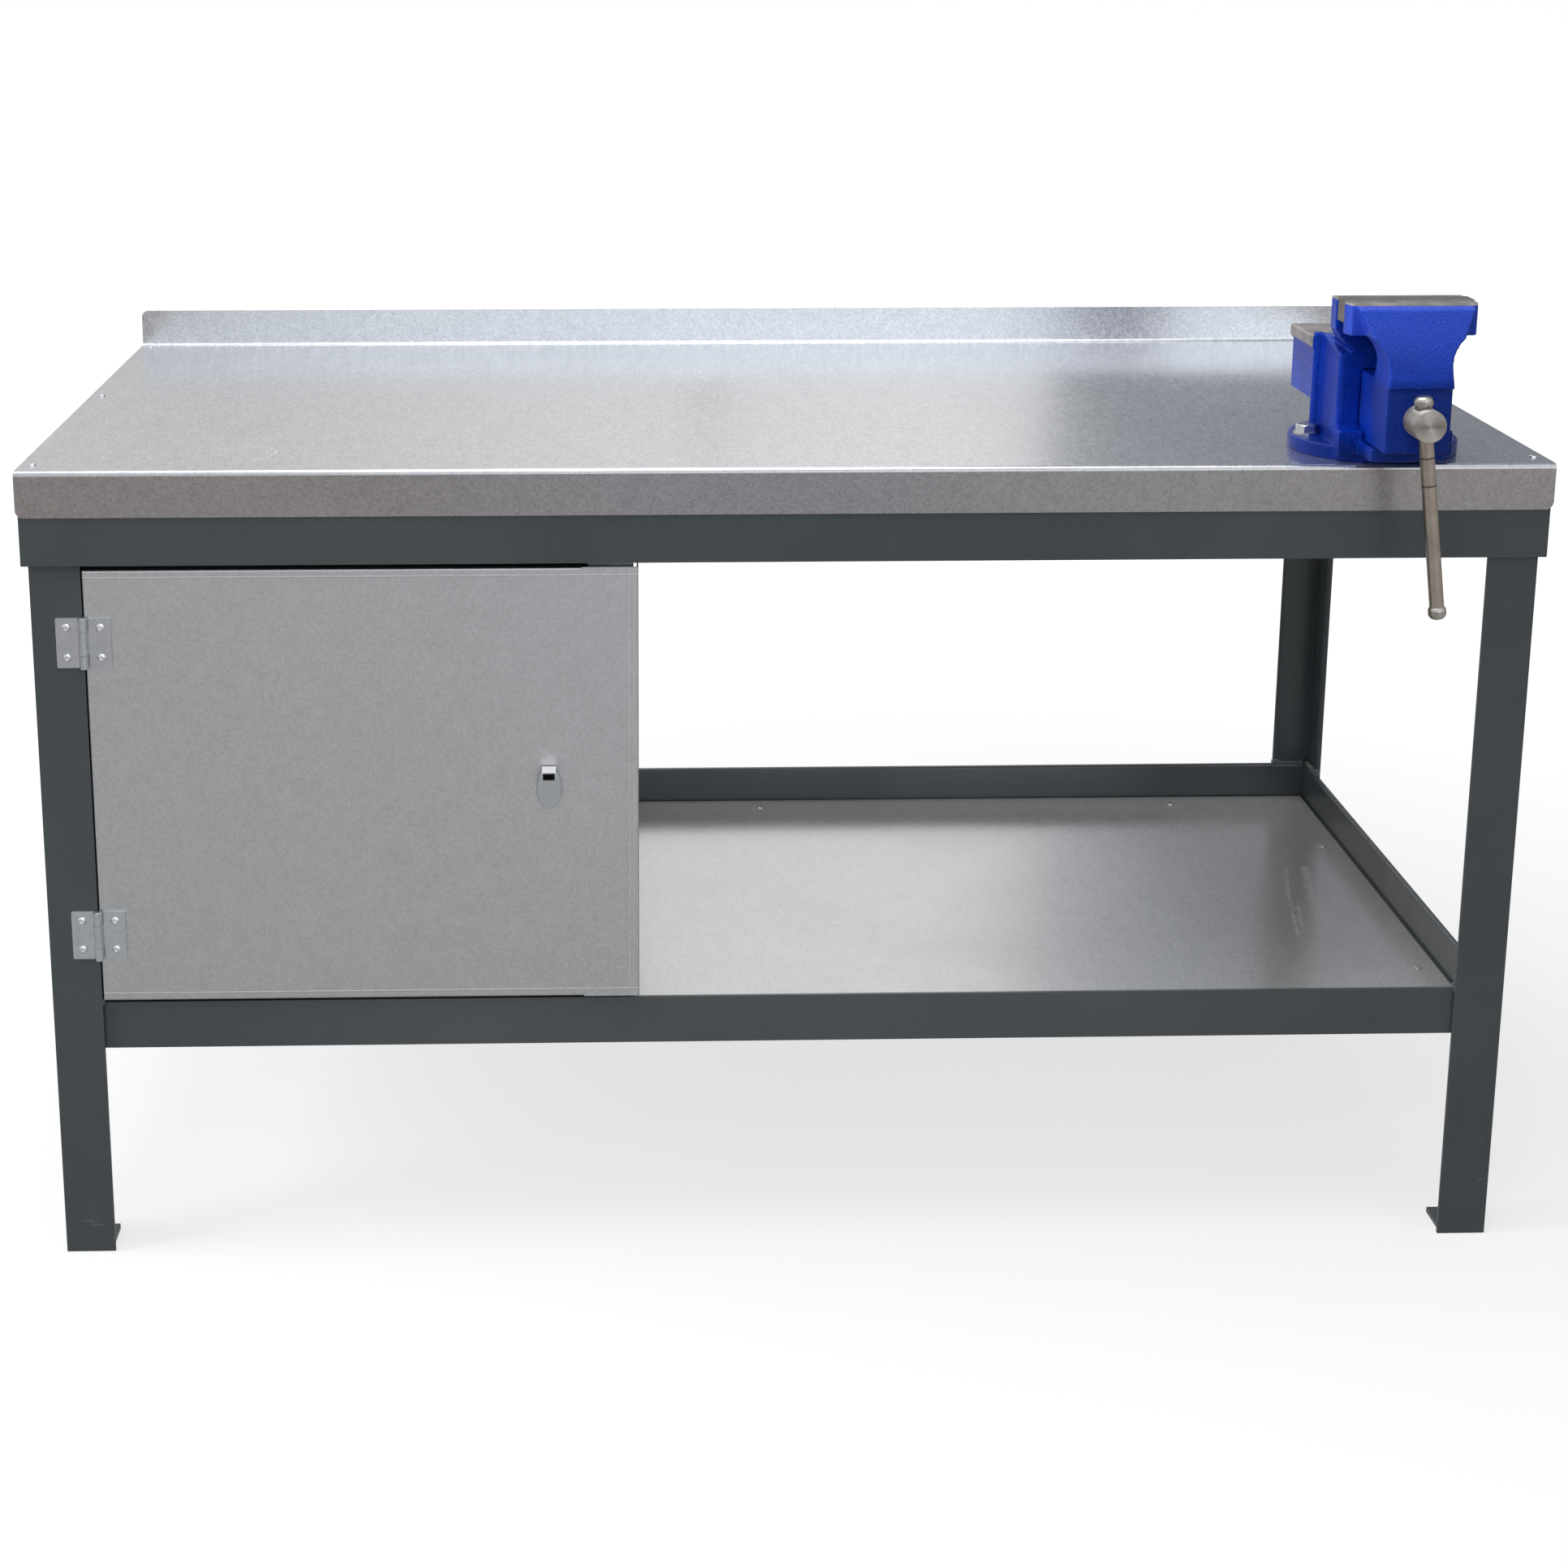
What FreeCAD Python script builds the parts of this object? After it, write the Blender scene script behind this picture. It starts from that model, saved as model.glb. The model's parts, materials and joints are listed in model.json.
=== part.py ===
"""Steel workbench with a galvanised worktop and shelf, a hinged cupboard door and a bench vice.

Millimetres, +Z up, X to the right and Y away from the front. The origin is on the floor,
at the middle of the four floor bolts. One STEP file is written for each sub-part.
"""
import FreeCAD, Part
import math
import os

Vec = FreeCAD.Vector
X_AXIS = Vec(1, 0, 0)
Y_AXIS = Vec(0, 1, 0)
Z_AXIS = Vec(0, 0, 1)
ORIGIN = Vec(0, 0, 0)
DOWN = Vec(0, 0, -1)
TO_FRONT = Vec(0, -1, 0)

# Whole bench
bench_width = 1500.0
bench_depth = 750.0
top_height = 830.0
overrun = 5.0
hole_clearance = 0.05
running_clearance = 0.05
guide_clearance = 0.5
working_gap = 0.3
tolerance = 1e-4

# Rolled steel angle of the frame
angle_size = 50.0
angle_thickness = 6.0
toe_radius = 3.0
shelf_rail_bottom = 225.0

# Foot plates, with one floor bolt hole each
foot_plate_side = 41.0
foot_plate_thickness = 6.0
floor_bolt_hole_radius = 5.5

# Worktop: a folded sheet over a core board
sheet_thickness = 2.0
bend_inner_radius = 3.0
lip_height = 46.0
lip_corner_radius = 8.0
upstand_height = 42.5
board_thickness = 42.5
board_edge_relief = 1.0
top_screw_front_inset = 33.0
top_screw_back_inset = 19.0
top_screw_middle_offset = 27.0
top_screw_end_inset = 12.0

# Shelf sheet in the tray of the shelf rails
shelf_thickness = 1.5
shelf_edge_gap = 3.0
shelf_screw_inset = 31.0
shelf_side_screw_inset = 25.0
shelf_screw_pitch = 530.0
shelf_screw_offset = 20.5
shelf_side_screw_pitch = 376.0
shelf_side_screw_offset = -23.0

# Small screws of the worktop, shelf and cupboard
small_screw_head_radius = 3.8
small_screw_head_height = 1.6
small_screw_radius = 1.9
small_screw_length = 16.0
small_screw_recess_width = 0.8
small_screw_recess_length = 3.6
small_screw_recess_depth = 1.0

# Screws that hold the board down to the frame, from below
board_screw_head_radius = 5.5
board_screw_head_height = 4.5
board_screw_radius = 3.0
board_screw_length = 36.0
board_screw_pitch = 420.0
board_screw_side_pitch = 380.0
board_screw_inset = 15.0

# Middle bearers
bearer_flat_width = 50.0

# Door
door_sheet = 1.5
door_gap_below = 4.0
door_gap_above = 5.5
door_right = -147.5
door_hinge_gap = 0.5
door_return = 20.0
door_return_stop = 56.0
door_bend_radius = 2.0
door_return_bend_radius = 2.5

# Butt hinges
hinge_height = 51.0
hinge_reach = 27.0
hinge_leaf_thickness = 2.0
hinge_knuckle_radius = 4.5
hinge_knuckle_offset = 0.4
hinge_pin_radius = 2.2
hinge_pin_head_radius = 3.2
hinge_pin_head_height = 1.2
hinge_middle_knuckle = 24.0
hinge_leaf_corner_radius = 1.5
hinge_inset_top = 73.0
hinge_inset_bottom = 72.0
rivet_across = 16.7
rivet_spacing = 30.6
rivet_head_radius = 4.0
rivet_head_height = 1.6
rivet_radius = 2.4
rivet_bore_radius = 1.3
rivet_bore_depth = 2.4
rivet_tail_radius = 3.3
rivet_tail_length = 3.0

# Door latch
latch_from_right = 89.5
latch_drop = 1.0
latch_plate_width = 24.5
latch_plate_height = 43.0
latch_plate_thickness = 3.0
latch_plate_edge_radius = 1.2
latch_bush_flange_radius = 11.0
latch_bush_flange_thickness = 2.0
latch_bush_radius = 8.0
latch_bush_length = 14.0
latch_nut_flats = 22.0
latch_nut_thickness = 5.0
latch_shaft_radius = 4.0
latch_square = 6.0
latch_lug_width = 13.8
latch_lug_height = 9.0
latch_lug_reach = 17.0
latch_lug_wall = 1.1
latch_lug_depth = 12.0
latch_lug_inset = 1.0
latch_lug_hole_radius = 2.6
latch_cam_thickness = 2.5
latch_cam_width = 14.0
latch_cam_reach = 50.0
latch_cam_screw_head_radius = 4.5
latch_cam_screw_head_height = 3.0
latch_cam_screw_radius = 1.5
latch_cam_screw_length = 7.0
latch_cam_pilot_length = 8.0

# Cupboard panels
panel_sheet = 1.5
panel_flange = 20.0
strike_width = 43.5
strike_thickness = 1.5
strike_end_gap = 20.0
panel_setback = 14.0
side_panel_inset = 4.5
back_panel_inset = 4.5
panel_screw_flange_share = 0.5
panel_screw_row_share = 0.25

# Bench vice: place and base
vice_from_right = 158.0
jaw_line_from_front = 4.0
vice_base_radius = 83.0
vice_base_thickness = 14.0
vice_base_centre = 82.0
vice_base_edge_radius = 2.0
vice_bolt_circle_radius = 67.0
vice_bolt_radius = 6.0
vice_bolt_flats = 19.0
vice_bolt_head = 7.5
vice_bolt_hole_radius = 6.5
vice_bolt_tail = 6.0
vice_bolt_nut = 10.0
washer_radius = 12.0
washer_thickness = 2.5

# Bench vice: fixed casting
column_half_width = 54.0
column_front = 24.0
column_back = 87.0
column_top_front = 104.0
column_top_back = 116.0
column_corner_radius = 5.0
foot_half_width = 56.0
foot_front = 4.0
foot_height = 32.0
tongue_half_width = 36.0
tongue_front = -35.0
tongue_bottom = 9.0
anvil_half_width = 63.5
anvil_body_step = 2.5
anvil_back = 172.0
anvil_bottom = 47.0
anvil_top = 112.0
anvil_cap = 12.0
jaw_half_width = 63.5
jaw_bottom = 131.0
jaw_top = 161.5
fixed_jaw_thickness = 19.0
fixed_neck_half_width = 40.0
fixed_neck_back = 62.0
neck_flare_height = 26.0
throat_depth = 27.0

# Bench vice: jaw plates
jaw_plate_length = 125.0
jaw_plate_thickness = 12.0
jaw_plate_height = 22.0
jaw_plate_top = 163.0
jaw_screw_spacing = 76.0
jaw_screw_radius = 3.0
jaw_screw_head_radius = 6.0
jaw_screw_head_depth = 5.0
jaw_screw_length = 26.0
jaw_screw_socket_flats = 5.0
jaw_screw_socket_depth = 3.0

# Bench vice: moving casting
slide_half_width = 31.0
slide_bottom = 22.0
slide_top = 89.0
slide_front = -61.0
slide_back = 200.0
slide_wall = 9.0
slide_front_wall = 12.0
head_overhang = 4.0
head_skirt = 8.0
head_top_front = -40.0
head_bevel_height = 4.0
head_chamfer_start = 6.0
head_machined_depth = 13.0
jaw_bar_thickness = 18.0
moving_throat_curve = 5.0
head_waist_half_width = 30.5
head_shoulder_half_width = 44.0
head_waist_height = 104.0
head_shoulder_height = 131.0
head_front_half_width = 57.0

# Bench vice: screw, nut, collar and handle
screw_height = 55.5
screw_radius = 10.0
screw_end = 196.0
screw_head_radius = 15.75
screw_head_length = 33.0
screw_head_chamfer = 0.8
thrust_washer_thickness = 2.0
thrust_washer_radius = 15.0
screw_collar_radius = 15.0
screw_collar_length = 10.0
nut_front = 40.0
nut_length = 30.0
nut_half_width = 15.0
nut_top = 72.0
nut_screw_radius = 4.0
nut_screw_head_radius = 6.5
nut_screw_head_height = 6.0
nut_screw_depth = 36.0
nut_screw_sink = 1.0
handle_radius = 6.9
handle_hole_clearance = 0.3
handle_tilt = 7.5
handle_knob_spacing = 206.0
handle_upper_knob_radius = 9.1
handle_upper_knob_height = 12.7
handle_lower_knob_radius = 8.6
handle_lower_knob_height = 14.0
handle_knob_round_share = 0.42
handle_flat_height = 14.0
handle_flat_radius = 10.5

# Places that follow from the sizes above
half_width = bench_width / 2
front = -bench_depth / 2
back = bench_depth / 2
sheet_bottom = top_height - sheet_thickness
board_bottom = sheet_bottom - board_thickness
frame_half_width = half_width - sheet_thickness
frame_front = front + sheet_thickness
frame_half_depth = -frame_front
top_rail_bottom = board_bottom - angle_size
leg_top = board_bottom - angle_thickness
leg_half_width = frame_half_width - angle_thickness
leg_half_depth = frame_half_depth - angle_thickness
shelf_half_width = leg_half_width - angle_thickness
shelf_half_depth = leg_half_depth - angle_thickness
shelf_flange_top = shelf_rail_bottom + angle_thickness
shelf_top = shelf_flange_top + shelf_thickness
tray_half_width = shelf_half_width - angle_thickness
tray_half_depth = shelf_half_depth - angle_thickness
leg_front = -leg_half_depth
leg_inner_edge = leg_half_width - angle_size

door_left = -leg_inner_edge + 2 * door_hinge_gap
door_bottom = shelf_rail_bottom + angle_size + door_gap_below
door_top = top_rail_bottom - door_gap_above
door_front = leg_front
door_inner = door_front + door_sheet
hinge_x = -leg_inner_edge + door_hinge_gap
hinge_y = door_front - hinge_knuckle_offset - hinge_knuckle_radius
leaf_front = door_front - hinge_leaf_thickness
hinge_heights = (door_bottom + hinge_inset_bottom, door_top - hinge_inset_top)

side_panel_x = door_right - side_panel_inset
end_panel_x = -tray_half_width
panel_front = leg_front + panel_setback
panel_back = tray_half_depth - back_panel_inset
panel_bottom = shelf_top
panel_top = leg_top

latch_x = door_right - latch_from_right
latch_height = (door_bottom + door_top) / 2 - latch_drop
bush_front = door_front - latch_bush_flange_thickness
latch_plate_back = bush_front - working_gap
latch_plate_front = latch_plate_back - latch_plate_thickness
strike_front = panel_front + panel_sheet
strike_back = strike_front + strike_thickness
latch_cam_front = strike_back + guide_clearance
latch_cam_back = latch_cam_front + latch_cam_thickness

vice_x = half_width - vice_from_right
vice_y = front + jaw_line_from_front
vice_z = top_height
base_y = vice_y + vice_base_centre
screw_z = vice_z + screw_height
screw_head_back = slide_front - thrust_washer_thickness - working_gap
handle_v = screw_head_back - screw_head_length / 2
handle_y = vice_y + handle_v
slide_cavity_half_width = slide_half_width + guide_clearance
slide_cavity_bottom = slide_bottom - guide_clearance
slide_cavity_top = slide_top + guide_clearance
handle_angle = math.radians(handle_tilt)
handle_up = Vec(-math.sin(handle_angle), 0, math.cos(handle_angle))
screw_centre = Vec(vice_x, handle_y, screw_z)


# Building helpers

def block(x0, x1, y0, y1, z0, z1):
    """Box between two corners."""
    return Part.makeBox(x1 - x0, y1 - y0, z1 - z0, Vec(x0, y0, z0))


def rod(radius, length, start, direction):
    return Part.makeCylinder(radius, length, start, direction)


def joined(shapes):
    """One clean solid out of shapes that touch or overlap."""
    whole = shapes[0].fuse(shapes[1:])
    return whole.removeSplitter()


def group(shapes):
    """Separate solids that share one node."""
    return Part.makeCompound(shapes)


def prism(points, path):
    """Solid swept straight along path from a closed outline of points."""
    wire = Part.makePolygon(list(points) + [points[0]])
    return Part.Face(wire).extrude(path)


def loop_prism(edges, path):
    """Solid swept straight along path from a closed loop of edges."""
    return Part.Face(Part.Wire(edges)).extrude(path)


def line(a, b):
    return Part.LineSegment(a, b).toShape()


def arc(a, middle, b):
    return Part.Arc(a, middle, b).toShape()


def rounded(shape, radius, wanted):
    """Fillet the edges whose middle point passes the test."""
    edges = []
    for edge in shape.Edges:
        middle = edge.valueAt((edge.FirstParameter + edge.LastParameter) / 2)
        if wanted(edge, middle):
            edges.append(edge)
    return shape.makeFillet(radius, edges)


def runs_along(edge, direction):
    if not isinstance(edge.Curve, (Part.Line, Part.LineSegment)):
        return False
    tangent = edge.tangentAt(edge.FirstParameter)
    return abs(tangent.dot(direction)) > 1 - tolerance


def near(value, target):
    return abs(value - target) < tolerance


def hexagon(flats, length, start, direction, turn=0.0):
    """Hexagonal prism across the given flats."""
    corner = flats / math.sqrt(3)
    axis = Vec(direction).normalize()
    side = axis.cross(X_AXIS)
    if side.Length < tolerance:
        side = axis.cross(Y_AXIS)
    side.normalize()
    other = axis.cross(side)
    points = []
    for step in range(6):
        angle = math.radians(60 * step) + turn
        points.append(start + side * (corner * math.cos(angle)) + other * (corner * math.sin(angle)))
    return prism(points, axis * length)


def turned(shape, quarter_turns):
    """Shape turned about the bench's upright axis."""
    copy = shape.copy()
    copy.rotate(ORIGIN, Z_AXIS, 90 * quarter_turns)
    return copy


def screw(seat, direction, head_radius, head_height, shank_radius, shank_length):
    """Domed cross-recess screw: its head stands on seat and its shank runs along direction."""
    outward = direction * -1
    head = rod(head_radius, head_height, seat, outward)
    rim = head_height / 2
    head = rounded(head, rim, lambda edge, middle: (middle - seat).dot(outward) > rim)
    shank = rod(shank_radius, shank_length, seat + outward * rim, direction)
    whole = joined([head, shank])
    return whole


def recessed(shape, seat, outward, side, head_height):
    """Cut a cross recess into a screw head."""
    other = outward.cross(side)
    floor = seat + outward * (head_height - small_screw_recess_depth)
    for along, across in ((side, other), (other, side)):
        corner = floor - along * (small_screw_recess_length / 2) - across * (small_screw_recess_width / 2)
        points = [
            corner,
            corner + along * small_screw_recess_length,
            corner + along * small_screw_recess_length + across * small_screw_recess_width,
            corner + across * small_screw_recess_width,
        ]
        shape = shape.cut(prism(points, outward * overrun))
    return shape


def small_screw(seat, direction, length=small_screw_length):
    whole = screw(seat, direction, small_screw_head_radius, small_screw_head_height,
                  small_screw_radius, length)
    side = Y_AXIS if abs(direction.dot(X_AXIS)) > 0 else X_AXIS
    return recessed(whole, seat, direction * -1, side, small_screw_head_height)


def screw_hole(seat, direction, length, radius):
    """Hole for a shank, starting overrun ahead of the seat."""
    return rod(radius + hole_clearance, length + overrun, seat - direction * overrun, direction)


def drilled(shape, holes):
    if not holes:
        return shape
    return shape.cut(group(holes))


# Places of the screws

def worktop_screw_seats():
    rows = (front + top_screw_front_inset, top_screw_middle_offset, back - top_screw_back_inset)
    ends = half_width - top_screw_end_inset
    return [Vec(side * ends, row, top_height) for side in (-1, 1) for row in rows]


def shelf_screw_seats():
    seats = []
    row = tray_half_depth - shelf_screw_inset
    for step in (-1, 0, 1):
        for side in (-1, 1):
            seats.append(Vec(shelf_screw_offset + step * shelf_screw_pitch, side * row, shelf_top))
    column = tray_half_width - shelf_side_screw_inset
    for step in (-1, 1):
        place = shelf_side_screw_offset + step * shelf_side_screw_pitch / 2
        for side in (-1, 1):
            seats.append(Vec(side * column, place, shelf_top))
    return seats


def board_screw_seats():
    """Rows in the front and back rails and one in the right rail; the cupboard holds the left end."""
    seats = []
    row = frame_half_depth - board_screw_inset
    for step in (-1, 0, 1):
        for side in (-1, 1):
            place = step * board_screw_pitch + angle_size / 2
            seats.append(Vec(place, side * row, leg_top))
    column = frame_half_width - board_screw_inset
    for step in (-1, 1):
        seats.append(Vec(column, step * board_screw_side_pitch / 2, leg_top))
    return seats


def panel_screw_columns():
    inset = panel_flange * panel_screw_flange_share
    return (side_panel_x - inset, end_panel_x + inset)


def panel_foot_seats():
    """Screws through the cupboard's bottom flanges, the shelf sheet and the shelf rails."""
    row = shelf_half_depth - angle_size * (1 - panel_screw_row_share)
    seat = panel_bottom + panel_sheet
    return [Vec(x, side * row, seat) for x in panel_screw_columns() for side in (-1, 1)]


def panel_head_seats():
    """Screws through the cupboard's top flanges and the top rails into the board."""
    row = frame_half_depth - angle_size * (1 - panel_screw_row_share)
    seat = panel_top - panel_sheet
    return [Vec(x, side * row, seat) for x in panel_screw_columns() for side in (-1, 1)]


def panel_back_seats():
    """Screws through the back panel's side flanges into the two upright panels."""
    seats = []
    row = panel_back - panel_sheet - panel_flange / 2
    rise = (panel_top - panel_bottom) * panel_screw_row_share
    for height in (panel_bottom + rise, panel_top - rise):
        seats.append((Vec(side_panel_x - 2 * panel_sheet, row, height), X_AXIS))
        seats.append((Vec(end_panel_x + 2 * panel_sheet, row, height), X_AXIS * -1))
    return seats


def screw_holes_down(seats, length=small_screw_length):
    return [screw_hole(seat, DOWN, length, small_screw_radius) for seat in seats]


def board_screw_holes():
    return [screw_hole(seat, Z_AXIS, board_screw_length, board_screw_radius)
            for seat in board_screw_seats()]


def panel_holes():
    holes = screw_holes_down(panel_foot_seats())
    for seat in panel_head_seats():
        holes.append(screw_hole(seat, Z_AXIS, small_screw_length, small_screw_radius))
    for seat, direction in panel_back_seats():
        holes.append(screw_hole(seat, direction, small_screw_length / 2, small_screw_radius))
    return holes


def vice_bolt_places():
    centre = Vec(vice_x, base_y, vice_z)
    reach = vice_bolt_circle_radius
    return [centre - X_AXIS * reach, centre + X_AXIS * reach, centre + Y_AXIS * reach]


def vice_bolt_holes():
    depth = vice_base_thickness + sheet_thickness + board_thickness + 2 * overrun
    bottom = board_bottom - overrun
    return [rod(vice_bolt_hole_radius, depth, Vec(place.x, place.y, bottom), Z_AXIS)
            for place in vice_bolt_places()]


# Frame

def leg(x_side, y_side):
    """Upright angle with its heel at the outer corner, drilled for hinge rivets where it has them."""
    heel = Vec(x_side * leg_half_width, y_side * leg_half_depth, 0)
    inward_x = X_AXIS * -x_side
    inward_y = Y_AXIS * -y_side
    size = angle_size
    thick = angle_thickness
    points = [
        heel,
        heel + inward_x * size,
        heel + inward_x * size + inward_y * thick,
        heel + inward_x * thick + inward_y * thick,
        heel + inward_x * thick + inward_y * size,
        heel + inward_y * size,
    ]
    shape = prism(points, Z_AXIS * leg_top)
    toes = (points[2], points[4])

    def is_toe(edge, middle):
        if not runs_along(edge, Z_AXIS):
            return False
        return any(near(middle.x, toe.x) and near(middle.y, toe.y) for toe in toes)

    shape = rounded(shape, toe_radius, is_toe)
    if x_side < 0 and y_side < 0:
        shape = drilled(shape, rivet_holes(-1))
    return shape


def foot_plate(x_side, y_side):
    """Square plate inside a leg's foot, with the floor bolt's hole in its middle."""
    inner_x = leg_half_width - angle_thickness
    inner_y = leg_half_depth - angle_thickness
    xs = sorted((x_side * inner_x, x_side * (inner_x - foot_plate_side)))
    ys = sorted((y_side * inner_y, y_side * (inner_y - foot_plate_side)))
    plate = block(xs[0], xs[1], ys[0], ys[1], 0, foot_plate_thickness)
    middle = Vec((xs[0] + xs[1]) / 2, (ys[0] + ys[1]) / 2, -overrun)
    return plate.cut(rod(floor_bolt_hole_radius, foot_plate_thickness + 2 * overrun, middle, Z_AXIS))


def mitred_rail(half_length, outer, wall_bottom, flange_bottom):
    """Angle along X at the front of a rectangular frame, with both ends mitred at 45 degrees."""

    def mitred_bar(depth, bottom, height):
        points = [
            Vec(-half_length, -outer, bottom),
            Vec(half_length, -outer, bottom),
            Vec(half_length - depth, -outer + depth, bottom),
            Vec(-half_length + depth, -outer + depth, bottom),
        ]
        return prism(points, Z_AXIS * height)

    wall = mitred_bar(angle_thickness, wall_bottom, angle_size)
    flange = mitred_bar(angle_size, flange_bottom, angle_thickness)
    shape = joined([wall, flange])
    inner_wall = -outer + angle_thickness
    inner_flange = -outer + angle_size
    flange_on_top = flange_bottom > wall_bottom
    toe_of_wall = wall_bottom if flange_on_top else wall_bottom + angle_size
    toe_of_flange = flange_bottom if flange_on_top else flange_bottom + angle_thickness

    def is_toe(edge, middle):
        if not runs_along(edge, X_AXIS):
            return False
        at_wall = near(middle.y, inner_wall) and near(middle.z, toe_of_wall)
        at_flange = near(middle.y, inner_flange) and near(middle.z, toe_of_flange)
        return at_wall or at_flange

    return rounded(shape, toe_radius, is_toe)


def top_rail(quarter_turns):
    along_x = quarter_turns % 2 == 0
    half_length = frame_half_width if along_x else frame_half_depth
    outer = frame_half_depth if along_x else frame_half_width
    rail = mitred_rail(half_length, outer, top_rail_bottom, leg_top)
    holes = board_screw_holes() + panel_holes()
    return drilled(turned(rail, quarter_turns), holes)


def shelf_rail(quarter_turns):
    along_x = quarter_turns % 2 == 0
    half_length = shelf_half_width if along_x else shelf_half_depth
    outer = shelf_half_depth if along_x else shelf_half_width
    rail = mitred_rail(half_length, outer, shelf_rail_bottom, shelf_rail_bottom)
    holes = screw_holes_down(shelf_screw_seats()) + screw_holes_down(panel_foot_seats())
    return drilled(turned(rail, quarter_turns), holes)


def top_bearer():
    """Angle under the middle of the board, from the front rail's flange to the back rail's."""
    reach = frame_half_depth - angle_size
    flange = block(-angle_size / 2, angle_size / 2, -reach, reach, leg_top, board_bottom)
    left = -angle_size / 2
    wall = block(left, left + angle_thickness, -reach, reach, top_rail_bottom, board_bottom)
    return joined([flange, wall])


def shelf_bearer():
    """Flat bar under the middle of the shelf sheet."""
    reach = shelf_half_depth - angle_size
    half = bearer_flat_width / 2
    return block(-half, half, -reach, reach, shelf_rail_bottom, shelf_flange_top)


# Worktop and shelf

def worktop_sheet():
    """Sheet folded down over the front edge and up along the back."""
    top = block(-half_width, half_width, front, back, sheet_bottom, top_height)
    lip = block(-half_width, half_width, front, front + sheet_thickness,
                top_height - lip_height, top_height)
    upstand_front = back - sheet_thickness
    upstand_top = top_height + upstand_height
    upstand = block(-half_width, half_width, upstand_front, back, sheet_bottom, upstand_top)
    shape = joined([top, lip, upstand])
    lip_bottom = top_height - lip_height

    def is_outer_bend(edge, middle):
        if not runs_along(edge, X_AXIS):
            return False
        at_lip = near(middle.y, front) and near(middle.z, top_height)
        at_upstand = near(middle.y, back) and near(middle.z, sheet_bottom)
        return at_lip or at_upstand

    def is_inner_bend(edge, middle):
        if not runs_along(edge, X_AXIS):
            return False
        at_lip = near(middle.y, front + sheet_thickness) and near(middle.z, sheet_bottom)
        at_upstand = near(middle.y, upstand_front) and near(middle.z, top_height)
        return at_lip or at_upstand

    def is_lip_corner(edge, middle):
        return runs_along(edge, Y_AXIS) and near(middle.z, lip_bottom)

    def is_upstand_corner(edge, middle):
        return runs_along(edge, Y_AXIS) and near(middle.z, upstand_top)

    shape = rounded(shape, bend_inner_radius, is_inner_bend)
    shape = rounded(shape, bend_inner_radius + sheet_thickness, is_outer_bend)
    shape = rounded(shape, lip_corner_radius, is_lip_corner)
    shape = rounded(shape, lip_corner_radius, is_upstand_corner)
    holes = screw_holes_down(worktop_screw_seats()) + vice_bolt_holes()
    return drilled(shape, holes)


def worktop_board():
    """Core board under the sheet, with its front edge eased to clear the bend."""
    board = block(-frame_half_width, frame_half_width, frame_front, back, board_bottom, sheet_bottom)

    def is_front_edge(edge, middle):
        return runs_along(edge, X_AXIS) and near(middle.y, frame_front) and near(middle.z, sheet_bottom)

    board = rounded(board, bend_inner_radius + board_edge_relief, is_front_edge)
    holes = screw_holes_down(worktop_screw_seats()) + vice_bolt_holes() + board_screw_holes()
    for seat in panel_head_seats():
        holes.append(screw_hole(seat, Z_AXIS, small_screw_length, small_screw_radius))
    return drilled(board, holes)


def worktop_screws():
    return group([small_screw(seat, DOWN) for seat in worktop_screw_seats()])


def board_screws():
    screws = []
    for seat in board_screw_seats():
        head = hexagon(2 * board_screw_head_radius, board_screw_head_height, seat, DOWN)
        shank = rod(board_screw_radius, board_screw_length + board_screw_head_height / 2,
                    seat - Z_AXIS * (board_screw_head_height / 2), Z_AXIS)
        screws.append(joined([head, shank]))
    return group(screws)


def shelf_sheet():
    reach_x = tray_half_width - shelf_edge_gap
    reach_y = tray_half_depth - shelf_edge_gap
    sheet = block(-reach_x, reach_x, -reach_y, reach_y, shelf_flange_top, shelf_top)
    return drilled(sheet, screw_holes_down(shelf_screw_seats()) + screw_holes_down(panel_foot_seats()))


def shelf_screws():
    return group([small_screw(seat, DOWN) for seat in shelf_screw_seats()])


# Cupboard

def upright_panel(outer, inward, front_flange):
    """Pressed side panel: a web with flanges that point into the cupboard."""

    def slab(reach, y0, y1, z0, z1):
        xs = sorted((outer, outer + inward * reach))
        return block(xs[0], xs[1], y0, y1, z0, z1)

    web = slab(panel_sheet, panel_front, panel_back, panel_bottom, panel_top)
    foot_end = panel_back - panel_sheet - panel_flange
    foot = slab(panel_flange, panel_front, foot_end, panel_bottom, panel_bottom + panel_sheet)
    head = slab(panel_flange, panel_front, foot_end, panel_top - panel_sheet, panel_top)
    parts = [web, foot, head]
    if front_flange > 0:
        parts.append(slab(front_flange, panel_front, panel_front + panel_sheet, panel_bottom, panel_top))
    return drilled(joined(parts), panel_holes())


def cupboard_side_panel():
    """Right-hand panel, with a front flange that carries the strike plate."""
    return upright_panel(side_panel_x, -1, panel_flange)


def cupboard_end_panel():
    return upright_panel(end_panel_x, 1, 0)


def strike_plate():
    """Flat plate spot-welded behind the side panel's front flange, for the door's cam."""
    right = side_panel_x - panel_sheet
    bottom = panel_bottom + panel_sheet + strike_end_gap
    top = panel_top - panel_sheet - strike_end_gap
    return block(right - strike_width, right, strike_front, strike_back, bottom, top)


def cupboard_back_panel():
    """Shallow tray between the two upright panels, with its flanges to the front."""
    left = end_panel_x + panel_sheet
    right = side_panel_x - panel_sheet
    front_edge = panel_back - panel_sheet - panel_flange
    tray = block(left, right, front_edge, panel_back, panel_bottom, panel_top)
    hollow = block(left + panel_sheet, right - panel_sheet, front_edge - overrun,
                   panel_back - panel_sheet, panel_bottom + panel_sheet, panel_top - panel_sheet)
    return drilled(tray.cut(hollow), panel_holes())


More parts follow.
